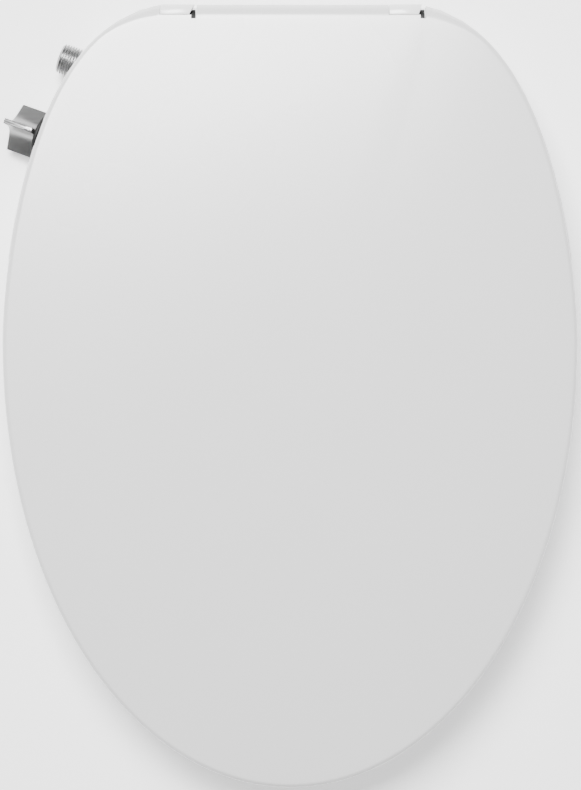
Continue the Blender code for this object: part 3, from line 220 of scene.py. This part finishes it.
def prism(name, outline, low, high, axis="Z"):
    """A solid from a flat outline: in X and Y rising along Z, or in Y and Z running along X."""
    area = sum(a[0] * b[1] - b[0] * a[1] for a, b in zip(outline, [*outline[1:], outline[0]]))
    around = outline if area > 0 else outline[::-1]
    if axis == "Z":
        verts = [(x, y, low) for x, y in around] + [(x, y, high) for x, y in around]
    else:
        verts = [(low, y, z) for y, z in around] + [(high, y, z) for y, z in around]
    count = len(around)
    faces = [tuple(reversed(range(count))), tuple(range(count, 2 * count))]
    faces += [(i, (i + 1) % count, count + (i + 1) % count, count + i) for i in range(count)]
    mesh = bpy.data.meshes.new(name)
    mesh.from_pydata(verts, [], faces)
    obj = bpy.data.objects.new(name, mesh)
    bpy.context.scene.collection.objects.link(obj)
    return obj


def round_bar(name, radius, start, end, sides=48):
    """A round bar from one point to another, with its place in its mesh."""
    start, end = Vector(start), Vector(end)
    turn = (end - start).to_track_quat("Z", "Y")
    rings = [
        [tuple(place + turn @ Vector((radius * math.cos(a), radius * math.sin(a), 0.0)))
         for a in (2 * math.pi * i / sides for i in range(sides))]
        for place in (start, end)
    ]
    return lofted(name, rings, tuple(start), tuple(end))


def shape_with(obj, tool, operation):
    """Cuts a tool out of a piece, or joins it on, and removes the tool."""
    step = obj.modifiers.new(tool.name, "BOOLEAN")
    step.operation = operation
    step.solver = "EXACT"
    step.object = tool
    settle(obj)
    bpy.data.objects.remove(tool, do_unlink=True)


def settle(obj):
    """Turns a piece's modifiers into plain mesh."""
    bpy.context.view_layer.update()
    graph = bpy.context.evaluated_depsgraph_get()
    mesh = bpy.data.meshes.new_from_object(obj.evaluated_get(graph))
    obj.modifiers.clear()
    obj.data = mesh


def smooth(obj, angle=35):
    obj.data.shade_smooth()
    obj.data.set_sharp_from_angle(angle=math.radians(angle))


def moulded_plastic(name, colour, roughness, coat=0.0, grain=0.0, grain_size=900.0, wander=0.015):
    """Moulded plastic: a faint drift of colour and gloss over the piece, and a fine surface grain."""
    material = bpy.data.materials.new(name)
    material.use_nodes = True
    tree = material.node_tree
    shader = tree.nodes["Principled BSDF"]
    shader.inputs["IOR"].default_value = 1.49
    shader.inputs["Coat Weight"].default_value = coat
    shader.inputs["Coat Roughness"].default_value = 0.22
    place = tree.nodes.new("ShaderNodeTexCoord")
    drift = tree.nodes.new("ShaderNodeTexNoise")
    drift.inputs["Scale"].default_value = 9.0
    drift.inputs["Detail"].default_value = 3.0
    tree.links.new(place.outputs["Object"], drift.inputs["Vector"])
    tint = tree.nodes.new("ShaderNodeValToRGB")
    tint.color_ramp.elements[0].color = (*(max(0.0, c - wander) for c in colour), 1.0)
    tint.color_ramp.elements[1].color = (*(min(1.0, c + wander) for c in colour), 1.0)
    tree.links.new(drift.outputs["Fac"], tint.inputs["Fac"])
    tree.links.new(tint.outputs["Color"], shader.inputs["Base Color"])
    gloss = tree.nodes.new("ShaderNodeMapRange")
    gloss.inputs["To Min"].default_value = roughness * 0.85
    gloss.inputs["To Max"].default_value = roughness * 1.15
    tree.links.new(drift.outputs["Fac"], gloss.inputs["Value"])
    tree.links.new(gloss.outputs["Result"], shader.inputs["Roughness"])
    if grain:
        fine = tree.nodes.new("ShaderNodeTexNoise")
        fine.inputs["Scale"].default_value = grain_size
        fine.inputs["Detail"].default_value = 2.0
        tree.links.new(place.outputs["Object"], fine.inputs["Vector"])
        bump = tree.nodes.new("ShaderNodeBump")
        bump.inputs["Strength"].default_value = grain
        bump.inputs["Distance"].default_value = 0.0002
        tree.links.new(fine.outputs["Fac"], bump.inputs["Height"])
        tree.links.new(bump.outputs["Normal"], shader.inputs["Normal"])
    return material


lid_gloss = moulded_plastic("lid_gloss", (0.67, 0.67, 0.67), 0.28, coat=0.9, grain=0.02, grain_size=350.0)


def lid_surface(outline, wall):
    """The lid's loops from the skirt's end to the crown, over a plan drawn in by a wall."""
    def rounding(y):
        return max(edge_round(y) - wall, 0.0005)

    top = LID_TOP - wall
    drawn = drawn_in(outline, [wall] * len(outline)) if wall else outline
    loops = [[(x, y, skirt_end(edge[1])) for (x, y), edge in zip(drawn, outline)]]
    for i in range(13):
        a = math.radians(7.5 * i)
        inset = [wall + rounding(edge[1]) * (1 - math.cos(a)) for edge in outline]
        plan = drawn_in(outline, inset)
        loops.append([
            (x, y, top - rounding(edge[1]) * (1 - math.sin(a))) for (x, y), edge in zip(plan, outline)
        ])
    rim, count = loops[-1], len(outline)
    for share in CROWN_SHARES:
        ring = []
        for i, (x, y, z) in enumerate(rim):
            turn = 2 * math.pi * (i + 1) / count + math.pi / 2
            across = share * (x * share + CROWN_HALF_WIDTH * math.cos(turn) * (1 - share))
            forward = CROWN_HALF_LENGTH * math.sin(turn) * (1 - share)
            along = share * ((y - LID_MIDDLE_Y) * share + forward)
            ring.append((across, LID_MIDDLE_Y + along, top + LID_CROWN * (1 - share**2)))
        loops.append(ring)
    return loops, (0.0, LID_MIDDLE_Y, top + LID_CROWN)


lid_outline = whole_outline(egg(0.0, REAR_Y, REAR_CORNER, REAR_CORNER_ANGLE, fine=3))
outside, outside_hub = lid_surface(lid_outline, 0.0)
inside, inside_hub = lid_surface(lid_outline, LID_WALL)
lid = lofted("lid_shell", [*reversed(inside), *outside], inside_hub, outside_hub)
for low, high in WINDOW_ENDS:
    notch_x, notch_y = high - NOTCH_WIDTH, WINDOW_FRONT_Y - NOTCH_DEPTH
    opening = [(low, WINDOW_FRONT_Y), (notch_x, WINDOW_FRONT_Y), (notch_x, notch_y),
               (high, notch_y), (high, REAR_Y + CUT_PAST), (low, REAR_Y + CUT_PAST)]
    shape_with(lid, prism("window", opening, HINGE_Z - CUT_PAST, LID_TOP + CUT_PAST), "DIFFERENCE")
for centre_x in (-LUG_X, LUG_X):
    lug = [(HINGE_Y - 0.012, LID_TOP - 0.0015), *arc(HINGE, KNUCKLE_RADIUS, 180, 360, 32),
           (HINGE_Y + KNUCKLE_RADIUS, HINGE_Z + 0.002), (HINGE_Y + 0.0045, LID_TOP - 0.0022)]
    knuckle = prism("lug", lug, centre_x - LUG_HALF_WIDTH, centre_x + LUG_HALF_WIDTH, "X")
    shape_with(lid, knuckle, "UNION")
through = round_bar("shaft_way", SHAFT_WAY, (-SHAFT_SPAN, *HINGE), (SHAFT_SPAN, *HINGE))
shape_with(lid, through, "DIFFERENCE")
smooth(lid, 30)
lid.data.materials.clear()
lid.data.materials.append(lid_gloss)
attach(lid, "lid")
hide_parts("lid")


# ---------------------------------------------------------------- hinge caps in the lid
# Two snap-in caps that fill the windows over the hinge posts. They are moulded in the lid's
# own white, painted lighter than the lid as painted light on their flat upward tops, and sit
# flush with the roll. One end of each is cut on a slant.
CAP_GAP, CAP_EDGE = 0.0003, 0.00035
CAP_FRONT_Y = WINDOW_FRONT_Y + CAP_GAP
CAP_INNER = KNUCKLE_RADIUS + 0.0004


def soften_edges(obj, width, segments=2, angle=35):
    """A small moulded radius on every edge sharper than the angle."""
    round_off = obj.modifiers.new("edge radius", "BEVEL")
    round_off.width = width
    round_off.segments = segments
    round_off.limit_method = "ANGLE"
    round_off.angle_limit = math.radians(angle)
    round_off.use_clamp_overlap = True
    settle(obj)


# lighter than the lid's white: painted light on the caps' upward-facing tops
cap_white_painted_lighter = moulded_plastic("cap_white_painted_lighter", (0.84, 0.84, 0.84), 0.22, coat=0.5, grain=0.02, grain_size=350.0)
for label, low, front_high, rear_high in (
    ("left", -0.0853, -0.0667, -0.0622),
    ("right", 0.0652, 0.0842, 0.0875),
):
    front = math.degrees(math.acos((CAP_FRONT_Y - HINGE_Y) / CAP_INNER))
    section = [(CAP_FRONT_Y, LID_TOP - 0.0006), *reversed(arc(HINGE, CAP_INNER, 0, front, 24)),
               (REAR_Y - 0.0004, HINGE_Z), (REAR_Y - 0.0004, HINGE_Z + 0.0050),
               (REAR_Y - 0.0010, LID_TOP - 0.0036), (REAR_Y - 0.0022, LID_TOP - 0.0022),
               (REAR_Y - 0.0040, LID_TOP - 0.0011)]
    cap = prism(f"hinge_cap_{label}", section, low, rear_high, "X")
    slant = [(front_high, CAP_FRONT_Y - 0.001), (front_high + 0.020, CAP_FRONT_Y - 0.001),
             (rear_high + 0.020, REAR_Y + 0.001), (rear_high, REAR_Y + 0.001)]
    shape_with(cap, prism("slant", slant, HINGE_Z - CUT_PAST, LID_TOP + CUT_PAST), "DIFFERENCE")
    soften_edges(cap, CAP_EDGE)
    smooth(cap)
    cap.data.materials.clear()
    cap.data.materials.append(cap_white_painted_lighter)
    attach(cap, "lid")
    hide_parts(f"lid_hinge_cap_{label}")


# ---------------------------------------------------------------- seat ring
# The sitting surface: a hollow ring blow-moulded in glossy white, dished towards the bowl,
# with two arms at the rear that reach the hinge shafts.
RING_TOP, RING_BOTTOM, RING_WALL = 0.047, 0.010, 0.003
RING_SECTION = (
    (0.0, RING_BOTTOM), (0.0, RING_TOP - 0.014), (0.025, RING_TOP - 0.007), (0.09, RING_TOP - 0.002),
    (0.30, RING_TOP), (0.60, RING_TOP - 0.001), (0.84, RING_TOP - 0.004), (0.95, RING_TOP - 0.0075),
    (1.0, RING_TOP - 0.013), (1.0, RING_BOTTOM),
)
HOLE_MIDDLE_Y, HOLE_HALF_LENGTH, HOLE_HALF_WIDTH = -0.236, 0.156, 0.105
WING_TIP_Y, WING_INNER_X, WING_REACH, WING_MIDDLE_Y = -0.122, 0.120, 0.173, -0.235
HOUSING_INSET, HOUSING_GAP = 0.003, 0.002
BAY_X, BAY_FRONT_Y, BAY_REAR_Y = 0.036, -0.130, -0.050
ARM_X, ARM_HALF_WIDTH = 0.0565, 0.0055


def seat_hole(point):
    """The point on the seat's hole that lies towards a point of the ring's outer outline."""
    a = math.atan2((point[1] - HOLE_MIDDLE_Y) / HOLE_HALF_LENGTH, point[0] / HOLE_HALF_WIDTH)
    return HOLE_HALF_WIDTH * math.cos(a), HOLE_MIDDLE_Y + HOLE_HALF_LENGTH * math.sin(a)


def curved_section(points, steps):
    """A section's corner points with a smooth curve through the upper ones."""
    fine = [points[0]]
    for i in range(1, len(points) - 2):
        a, b, c, d = (Vector(point) for point in points[i - 1 : i + 3])
        before, after = (b - a), (d - c)
        span = (c - b).length
        leave = ((c - b).normalized() + before.normalized()).normalized() * span
        arrive = ((c - b).normalized() + after.normalized()).normalized() * span
        for k in range(steps):
            t = k / steps
            fine.append(tuple(b + (c - b) * t * t * (3 - 2 * t) + leave * t * (1 - t) ** 2
                              - arrive * t * t * (1 - t)))
    return [*fine, points[-2], points[-1]]


def body_outline(grow):
    """The horseshoe plan of the housing: a rear block with a wing along each side."""
    tip_y, middle = WING_TIP_Y, WING_MIDDLE_Y
    outer = egg(-HOUSING_INSET - grow, REAR_Y + grow, REAR_CORNER, REAR_CORNER_ANGLE, tip_y - grow)
    half_width, reach = WING_INNER_X - grow, WING_REACH - grow
    edge = math.acos(((tip_y - grow - middle) / reach) ** 1.5)
    inner = []
    for i in range(37):
        a = edge * (1 - i / 36)
        inner.append((half_width * math.sin(a) ** (2 / 3), middle + reach * math.cos(a) ** (2 / 3)))
    inner[-1] = (0.0, middle + reach)
    end_y = tip_y - grow - 0.003
    tip = [(outer[-1][0] - 0.004, end_y), (inner[0][0] + 0.006, end_y)]
    return whole_outline(outer + tip + inner)


ring_outline = whole_outline(egg(0.005, 0.012, 0.025, 31, fine=3))
# across the ring, in metres of its mean width, so that the curve's handles stay in proportion
MEAN_WIDTH = 0.08
section = [(share * MEAN_WIDTH, z) for share, z in RING_SECTION]
section = [(s / MEAN_WIDTH, z) for s, z in curved_section(section, 5)]
ring_loops = []
for share, z in section:
    loop = []
    for point in ring_outline:
        hole = seat_hole(point)
        loop.append((point[0] + (hole[0] - point[0]) * share, point[1] + (hole[1] - point[1]) * share, z))
    ring_loops.append(loop)
ring = lofted("seat_ring_shell", ring_loops)
wall = ring.modifiers.new("wall", "SOLIDIFY")
wall.thickness = RING_WALL
wall.offset = -1.0
settle(ring)
clear_top = BODY_TOP + 0.0006
clearance = prism("housing_clearance", body_outline(HOUSING_GAP), -CUT_PAST, clear_top)
shape_with(ring, clearance, "DIFFERENCE")
bay = [(-BAY_X, BAY_FRONT_Y), (BAY_X, BAY_FRONT_Y), (BAY_X, BAY_REAR_Y), (-BAY_X, BAY_REAR_Y)]
shape_with(ring, prism("bay_clearance", bay, -CUT_PAST, clear_top), "DIFFERENCE")
for centre_x in (-ARM_X, ARM_X):
    arm = [(0.0060, 0.0380), (0.0240, 0.0370), *arc(HINGE, KNUCKLE_RADIUS, -122, 178, 48),
           (0.0240, 0.0445), (0.0060, 0.0445)]
    knuckle = prism("arm", arm, centre_x - ARM_HALF_WIDTH, centre_x + ARM_HALF_WIDTH, "X")
    shape_with(ring, knuckle, "UNION")
through = round_bar("shaft_way", SHAFT_WAY, (-SHAFT_SPAN, *HINGE), (SHAFT_SPAN, *HINGE))
shape_with(ring, through, "DIFFERENCE")
smooth(ring, 32)
ring_gloss = moulded_plastic("ring_gloss", (0.80, 0.805, 0.81), 0.2, coat=0.3, grain=0.02, grain_size=350.0)
ring.data.materials.clear()
ring.data.materials.append(ring_gloss)
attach(ring, "seat")
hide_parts("seat_ring")


# ---------------------------------------------------------------- housing
# Two screwed halves of injection-moulded white plastic. Their wings run along both sides of
# the seat and hold the water valve, the nozzles and the mounting plate.
def edge_finish():
    """A node tree that shades a piece smooth except across its sharp edges."""
    tree = bpy.data.node_groups.new("smooth_by_angle", "GeometryNodeTree")
    tree.interface.new_socket("Geometry", in_out="INPUT", socket_type="NodeSocketGeometry")
    angle = tree.interface.new_socket("Sharp Angle", in_out="INPUT", socket_type="NodeSocketFloat")
    angle.default_value = math.radians(35)
    tree.interface.new_socket("Geometry", in_out="OUTPUT", socket_type="NodeSocketGeometry")
    entry = tree.nodes.new("NodeGroupInput")
    leave = tree.nodes.new("NodeGroupOutput")
    faces = tree.nodes.new("GeometryNodeSetShadeSmooth")
    faces.domain = "FACE"
    faces.inputs["Shade Smooth"].default_value = True
    edges = tree.nodes.new("GeometryNodeSetShadeSmooth")
    edges.domain = "EDGE"
    turn = tree.nodes.new("GeometryNodeInputMeshEdgeAngle")
    gentle = tree.nodes.new("FunctionNodeCompare")
    gentle.data_type = "FLOAT"
    gentle.operation = "LESS_EQUAL"
    tree.links.new(turn.outputs["Unsigned Angle"], gentle.inputs["A"])
    tree.links.new(entry.outputs["Sharp Angle"], gentle.inputs["B"])
    tree.links.new(entry.outputs["Geometry"], faces.inputs["Geometry"])
    tree.links.new(faces.outputs["Geometry"], edges.inputs["Geometry"])
    tree.links.new(gentle.outputs["Result"], edges.inputs["Shade Smooth"])
    tree.links.new(edges.outputs["Geometry"], leave.inputs["Geometry"])
    return tree, angle.identifier


SMOOTH_TREE, SHARP_ANGLE = edge_finish()


def dress(name, material, radius=0.0003, sharp=35):
    """Gives a CAD node its finish: merged corners, a small edge radius and smooth shading."""
    node = nodes[name]
    weld = node.modifiers.new("merge", "WELD")
    weld.merge_threshold = 0.00001
    if radius:
        round_off = node.modifiers.new("edge radius", "BEVEL")
        round_off.width = radius
        round_off.segments = 2
        round_off.limit_method = "ANGLE"
        round_off.angle_limit = math.radians(sharp)
    finish = node.modifiers.new("smooth", "NODES")
    finish.node_group = SMOOTH_TREE
    finish[SHARP_ANGLE] = math.radians(sharp)
    node.data.materials.clear()
    node.data.materials.append(material)


cover_white = moulded_plastic("cover_white", (0.78, 0.785, 0.79), 0.28, coat=0.15, grain=0.05,
                              grain_size=600.0)
tray_white = moulded_plastic("tray_white", (0.70, 0.705, 0.71), 0.42, grain=0.12, grain_size=1200.0)
dress("top_cover", cover_white, 0.0004)
dress("base_tray", tray_white, 0.0004)
dress("release_button", cover_white, 0.0004)
dress("seat_underside", tray_white, 0.0003)

# ---------------------------------------------------------------- knob
# A three-armed star of cast metal with a satin finish, pushed onto the valve's stem. The
# arm that points up carries two fine grooves and a pale index dot.
KNOB_CENTRE = Vector((-0.17553, -0.03543, 0.019))
KNOB_RADIUS, KNOB_INNER, KNOB_OUTER = 0.0180, -0.00825, 0.01255
HEADING, TILT = math.radians(20.4), math.radians(11.5)
OUTWARD = Vector((-math.cos(HEADING), math.sin(HEADING), 0.0))
KNOB_AXIS = OUTWARD * math.cos(TILT) - Vector((0.0, 0.0, math.sin(TILT)))
KNOB_UP = OUTWARD * math.sin(TILT) + Vector((0.0, 0.0, math.cos(TILT)))
KNOB_EDGE, KNOB_EDGE_MIDDLE = 0.0006, 0.00018
STAR_HALF_WIDTH, STAR_CORNER, STAR_NOSE = 0.0017, 0.0004, 0.0001
FLUTE_FLOOR, FLUTE_FOOT, FLUTE_FLARE = 0.0012, 0.0058, 0.0004
GROOVE_ASIDE, GROOVE_HALF_WIDTH, GROOVE_DEPTH = 0.00078, 0.0004, 0.0009
GROOVE_ABOVE, GROOVE_START = 0.0004, 0.0052


def star_outline(shrink=0.0):
    """Three slim arms, one straight up, joined by round flutes."""
    def across(heading):
        return (Vector((math.cos(heading), math.sin(heading))),
                Vector((math.sin(heading), -math.cos(heading))))

    points = []
    tip, half = KNOB_RADIUS - shrink, STAR_HALF_WIDTH - shrink * 0.5
    for arm in range(3):
        away, aside = across(math.radians(90 - 120 * arm))
        next_away, next_aside = across(math.radians(90 - 120 * (arm + 1)))
        corner, nose = away * (tip - STAR_CORNER), away * (tip - STAR_NOSE)
        points += [corner - aside * half, nose - aside * half * 0.6, away * tip,
                   nose + aside * half * 0.6, corner + aside * half]
        flute = math.radians(90 - 120 * arm - 60)
        hub = Vector((math.cos(flute), math.sin(flute))) * (FLUTE_FLOOR - shrink)
        start = points[-1]
        finish = next_away * (tip - STAR_CORNER) - next_aside * half
        leave = away * FLUTE_FOOT + aside * (half + FLUTE_FLARE)
        arrive = next_away * FLUTE_FOOT - next_aside * (half + FLUTE_FLARE)
        for i in range(1, 24):
            t = i / 24
            points.append((1 - t) ** 4 * start + 4 * t * (1 - t) ** 3 * leave
                          + 6 * t**2 * (1 - t) ** 2 * hub + 4 * t**3 * (1 - t) * arrive + t**4 * finish)
    return [(p.x, p.y) for p in points]


def face_outwards(obj):
    bm = bmesh.new()
    bm.from_mesh(obj.data)
    bmesh.ops.recalc_face_normals(bm, faces=bm.faces)
    bm.to_mesh(obj.data)
    bm.free()


def in_knob(x, y, along):
    """A point in the knob's own directions: aside, up and outwards."""
    return tuple(KNOB_CENTRE + KNOB_UP.cross(KNOB_AXIS) * x + KNOB_UP * y + KNOB_AXIS * along)


knob_loops = []
for shrink, along in (
    (KNOB_EDGE, KNOB_INNER),
    (KNOB_EDGE_MIDDLE, KNOB_INNER + KNOB_EDGE_MIDDLE),
    (0.0, KNOB_INNER + KNOB_EDGE),
    (0.0, KNOB_OUTER - KNOB_EDGE),
    (KNOB_EDGE_MIDDLE, KNOB_OUTER - KNOB_EDGE_MIDDLE),
    (KNOB_EDGE, KNOB_OUTER),
):
    knob_loops.append([in_knob(x, y, along) for x, y in reversed(star_outline(shrink))])
knob = lofted("star_knob", knob_loops, in_knob(0, 0, KNOB_INNER), in_knob(0, 0, KNOB_OUTER))
for aside in (-GROOVE_ASIDE, GROOVE_ASIDE):
    corners = [(-GROOVE_HALF_WIDTH, GROOVE_ABOVE), (-GROOVE_HALF_WIDTH, -GROOVE_DEPTH),
               (GROOVE_HALF_WIDTH, -GROOVE_DEPTH), (GROOVE_HALF_WIDTH, GROOVE_ABOVE)]
    groove = [in_knob(aside + dx, KNOB_RADIUS + dy, along)
              for along in (KNOB_INNER + GROOVE_START, KNOB_OUTER + 0.001) for dx, dy in corners]
    mesh = bpy.data.meshes.new("groove")
    mesh.from_pydata(groove, [], [(0, 1, 2, 3), (7, 6, 5, 4), (0, 4, 5, 1), (1, 5, 6, 2),
                                  (2, 6, 7, 3), (3, 7, 4, 0)])
    tool = bpy.data.objects.new("groove", mesh)
    bpy.context.scene.collection.objects.link(tool)
    face_outwards(tool)
    shape_with(knob, tool, "DIFFERENCE")
face_outwards(knob)
smooth(knob, 40)


def satin_metal(name, colour, roughness, stretch, turn=(0.0, 0.0, 0.0)):
    """Plated or brushed metal whose fine grain runs one way."""
    material = bpy.data.materials.new(name)
    material.use_nodes = True
    tree = material.node_tree
    shader = tree.nodes["Principled BSDF"]
    shader.inputs["Metallic"].default_value = 1.0
    place = tree.nodes.new("ShaderNodeTexCoord")
    lay = tree.nodes.new("ShaderNodeMapping")
    lay.inputs["Rotation"].default_value = turn
    lay.inputs["Scale"].default_value = stretch
    tree.links.new(place.outputs["Object"], lay.inputs["Vector"])
    grain = tree.nodes.new("ShaderNodeTexNoise")
    grain.inputs["Scale"].default_value = 60.0
    grain.inputs["Detail"].default_value = 4.0
    tree.links.new(lay.outputs["Vector"], grain.inputs["Vector"])
    tint = tree.nodes.new("ShaderNodeValToRGB")
    tint.color_ramp.elements[0].color = (*(c * 0.86 for c in colour), 1.0)
    tint.color_ramp.elements[1].color = (*(min(1.0, c * 1.1) for c in colour), 1.0)
    tree.links.new(grain.outputs["Fac"], tint.inputs["Fac"])
    tree.links.new(tint.outputs["Color"], shader.inputs["Base Color"])
    gloss = tree.nodes.new("ShaderNodeMapRange")
    gloss.inputs["To Min"].default_value = roughness * 0.8
    gloss.inputs["To Max"].default_value = roughness * 1.25
    tree.links.new(grain.outputs["Fac"], gloss.inputs["Value"])
    tree.links.new(gloss.outputs["Result"], shader.inputs["Roughness"])
    bump = tree.nodes.new("ShaderNodeBump")
    bump.inputs["Strength"].default_value = 0.08
    bump.inputs["Distance"].default_value = 0.00005
    tree.links.new(grain.outputs["Fac"], bump.inputs["Height"])
    tree.links.new(bump.outputs["Normal"], shader.inputs["Normal"])
    return material


knob_satin = satin_metal("knob_satin", (0.32, 0.32, 0.32), 0.34, (1.0, 9.0, 9.0), (0.0, TILT, -HEADING))
knob.data.materials.clear()
knob.data.materials.append(knob_satin)
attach(knob, "knob")
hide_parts("knob")
dress("knob_marker", moulded_plastic("marker_white", (0.9, 0.9, 0.9), 0.3), 0.0001)

# ---------------------------------------------------------------- collar and valve
# A collar fills the opening in the housing behind the knob. Its near-black, weakly reflecting
# finish is partly the collar's own black and partly painted shade for the deep shadow there.
# The valve behind it is a moulded block with a brass cartridge.
# near-black with little reflection: black plastic, and painted shade for the shadow it stands in
black_plastic_and_shade = moulded_plastic("black_plastic_and_shade", (0.012, 0.012, 0.012), 0.6, grain=0.2,
                               grain_size=1500.0, wander=0.004)
black_and_shade_shader = black_plastic_and_shade.node_tree.nodes["Principled BSDF"]
black_and_shade_shader.inputs["Specular IOR Level"].default_value = 0.25
brass = satin_metal("turned_brass", (0.72, 0.55, 0.28), 0.25, (4.0, 4.0, 1.0))
natural = moulded_plastic("natural_nylon", (0.66, 0.67, 0.67), 0.45, grain=0.1, grain_size=900.0)
dress("knob_collar", black_plastic_and_shade, 0.0004)
dress("valve_body", natural, 0.0006)
dress("valve_cartridge", brass, 0.0002)
dress("valve_stem", brass, 0.0002)

# ---------------------------------------------------------------- water inlet
# A plated nipple with a half-inch pipe thread for the water hose's nut. Each turn of the thread
# is made as a plain ring at the true pitch, and the first is lower, as a chamfer leaves it.
INLET_END = Vector((-0.1545, 0.0142, 0.0155))
THREAD_OUTER, THREAD_ROOT, THREAD_PITCH, THREAD_REACH = 0.0104775, 0.0091, 0.001814, 0.0132
BORE, SHANK_REACH = 0.0065, 0.0140
NECK_RADIUS, NECK_LENGTH, SHANK_RADIUS = 0.0095, 0.0043, 0.0079


def turned(name, profile, origin, direction, sides=96):
    """A turned ring from a closed (radius, height) profile."""
    turn = Vector(direction).to_track_quat("Z", "Y")
    loops = []
    for radius, height in profile:
        loops.append([
            tuple(Vector(origin) + turn @ Vector((radius * math.cos(a), radius * math.sin(a), height)))
            for a in (2 * math.pi * i / sides for i in range(sides))
        ])
    obj = lofted(name, loops, closed=True)
    face_outwards(obj)
    return obj


profile = [(BORE, -THREAD_REACH - SHANK_REACH), (BORE, -0.0005), (BORE + 0.0005, 0.0),
           (THREAD_ROOT - 0.0004, 0.0)]
turns = int(THREAD_REACH / THREAD_PITCH)
for ridge in range(turns):
    start = -0.0006 - ridge * THREAD_PITCH
    crest = THREAD_OUTER - (0.0005 if ridge == 0 else 0.0)
    profile += [(THREAD_ROOT, start), (crest - 0.0002, start - THREAD_PITCH * 0.20),
                (crest, start - THREAD_PITCH * 0.30), (crest - 0.0002, start - THREAD_PITCH * 0.42),
                (THREAD_ROOT, start - THREAD_PITCH * 0.62),
                (THREAD_ROOT - 0.0002, start - THREAD_PITCH * 0.80)]
profile += [(NECK_RADIUS, -THREAD_REACH - 0.0002), (NECK_RADIUS, -THREAD_REACH - NECK_LENGTH),
            (SHANK_RADIUS, -THREAD_REACH - NECK_LENGTH), (SHANK_RADIUS, -THREAD_REACH - SHANK_REACH)]
nipple = turned("threaded_inlet", profile, INLET_END, OUTWARD)
smooth(nipple, 30)
inlet_plate = satin_metal("inlet_nickel", (0.42, 0.42, 0.42), 0.34, (2.0, 2.0, 2.0))
nipple.data.materials.append(inlet_plate)
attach(nipple, "base")
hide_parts("inlet_nipple")
black_rubber = moulded_plastic("black_rubber", (0.03, 0.03, 0.03), 0.7, grain=0.3,
                               grain_size=1500.0, wander=0.006)
steel = satin_metal("bright_steel", (0.62, 0.63, 0.65), 0.28, (5.0, 5.0, 5.0))
dress("inlet_seal", black_rubber, 0.0002)
dress("inlet_filter", steel, 0.0001)

# ---------------------------------------------------------------- nozzles, guard and hoses
# Two white tubes slide out of a moulded block under water pressure, and springs draw them
# back. A hinged guard hangs in front of them, and thin hoses feed the block.
nozzle_white = moulded_plastic("nozzle_white", (0.80, 0.80, 0.80), 0.22, coat=0.3, grain=0.02)
hose_milky = moulded_plastic("hose_milky", (0.74, 0.76, 0.77), 0.3, coat=0.1)
for name in ("rear_wash_nozzle", "front_wash_nozzle"):
    dress(name, nozzle_white, 0.0002)
dress("nozzle_guard", nozzle_white, 0.0003)
dress("guard_pin", steel, 0.0001)
for name in ("nozzle_block", "nozzle_block_cap"):
    dress(name, natural, 0.0004)
for name in ("rear_wash_hose", "front_wash_hose"):
    dress(name, hose_milky, 0.0, 50)
for name in ("rear_wash_spring", "front_wash_spring", "release_spring"):
    dress(name, steel, 0.0, 60)

# ---------------------------------------------------------------- hinge
# Posts screwed to the housing carry two rotary dampers, whose steel shafts turn with the ring
# and the lid. The posts are black, and a black ring on the side of each fills the gap beside
# each lid cap: both are painted shade for the dark gaps there.
# ends of the black ring that fills the gap beside each cap with painted shade
SHADE_RING_ENDS = (("left", -0.0655, -0.0624), ("right", 0.0835, 0.0886))
SHADE_RING_WAY = SHAFT_WAY + 0.0009
for label, near, far in SHADE_RING_ENDS:
    cad = nodes[f"hinge_post_{label}"]
    post = bpy.data.objects.new(f"post_with_shade_ring_{label}", cad.data.copy())
    bpy.context.scene.collection.objects.link(post)
    bm = bmesh.new()
    bm.from_mesh(post.data)
    bmesh.ops.remove_doubles(bm, verts=bm.verts, dist=0.00001)
    bm.to_mesh(post.data)
    bm.free()
    shade_filler = round_bar("gap_shade_ring", KNUCKLE_RADIUS, (near, *HINGE), (far, *HINGE))
    through = round_bar("shaft_way", SHADE_RING_WAY, (near - CUT_PAST, *HINGE), (far + CUT_PAST, *HINGE))
    shape_with(shade_filler, through, "DIFFERENCE")
    shape_with(post, shade_filler, "UNION")
    bm = bmesh.new()
    bm.from_mesh(post.data)
    bmesh.ops.remove_doubles(bm, verts=bm.verts, dist=0.00002)
    bmesh.ops.holes_fill(bm, edges=[e for e in bm.edges if e.is_boundary], sides=0)
    bmesh.ops.recalc_face_normals(bm, faces=bm.faces)
    bm.to_mesh(post.data)
    bm.free()
    smooth(post)
    post.data.materials.clear()
    # black posts and rings: painted shade for the gaps beside the caps
    post.data.materials.append(black_plastic_and_shade)
    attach(post, "base")
    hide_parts(f"hinge_post_{label}")
for name in ("lid_damper", "seat_damper"):
    dress(name, black_plastic_and_shade, 0.0003)
for name in ("lid_damper_shaft", "seat_damper_shaft", "post_screw_left", "post_screw_right"):
    dress(name, steel, 0.0002)

# ---------------------------------------------------------------- bumpers and pads
# Soft off-white rubber bumpers keep the ring off the bowl and the lid off the ring, and grey
# pads sit under the housing.
bumper_soft = moulded_plastic("bumper_soft", (0.66, 0.67, 0.68), 0.6, grain=0.2, grain_size=1300.0)
pad_grey = moulded_plastic("pad_grey", (0.24, 0.25, 0.26), 0.75, grain=0.3, grain_size=1300.0)
for number in range(1, 5):
    dress(f"seat_bumper_{number}", bumper_soft, 0.0005)
    dress(f"foot_pad_{number}", pad_grey, 0.0003)
    dress(f"case_screw_{number}", steel, 0.0002)
for number in (1, 2):
    dress(f"lid_bumper_{number}", bumper_soft, 0.0005)

# ---------------------------------------------------------------- mounting plate and bolts
# A moulded plate is bolted to the deck. The whole seat slides onto it, and the tooth on the
# release button's bar catches in a notch in the plate's lip.
dress("mounting_plate", natural, 0.0005)
for label in ("left", "right"):
    dress(f"mounting_bolt_{label}", steel, 0.0003)
    dress(f"bolt_washer_{label}", steel, 0.0002)
    dress(f"mounting_nut_{label}", steel, 0.0004)
    dress(f"rubber_washer_{label}", black_rubber, 0.0004)
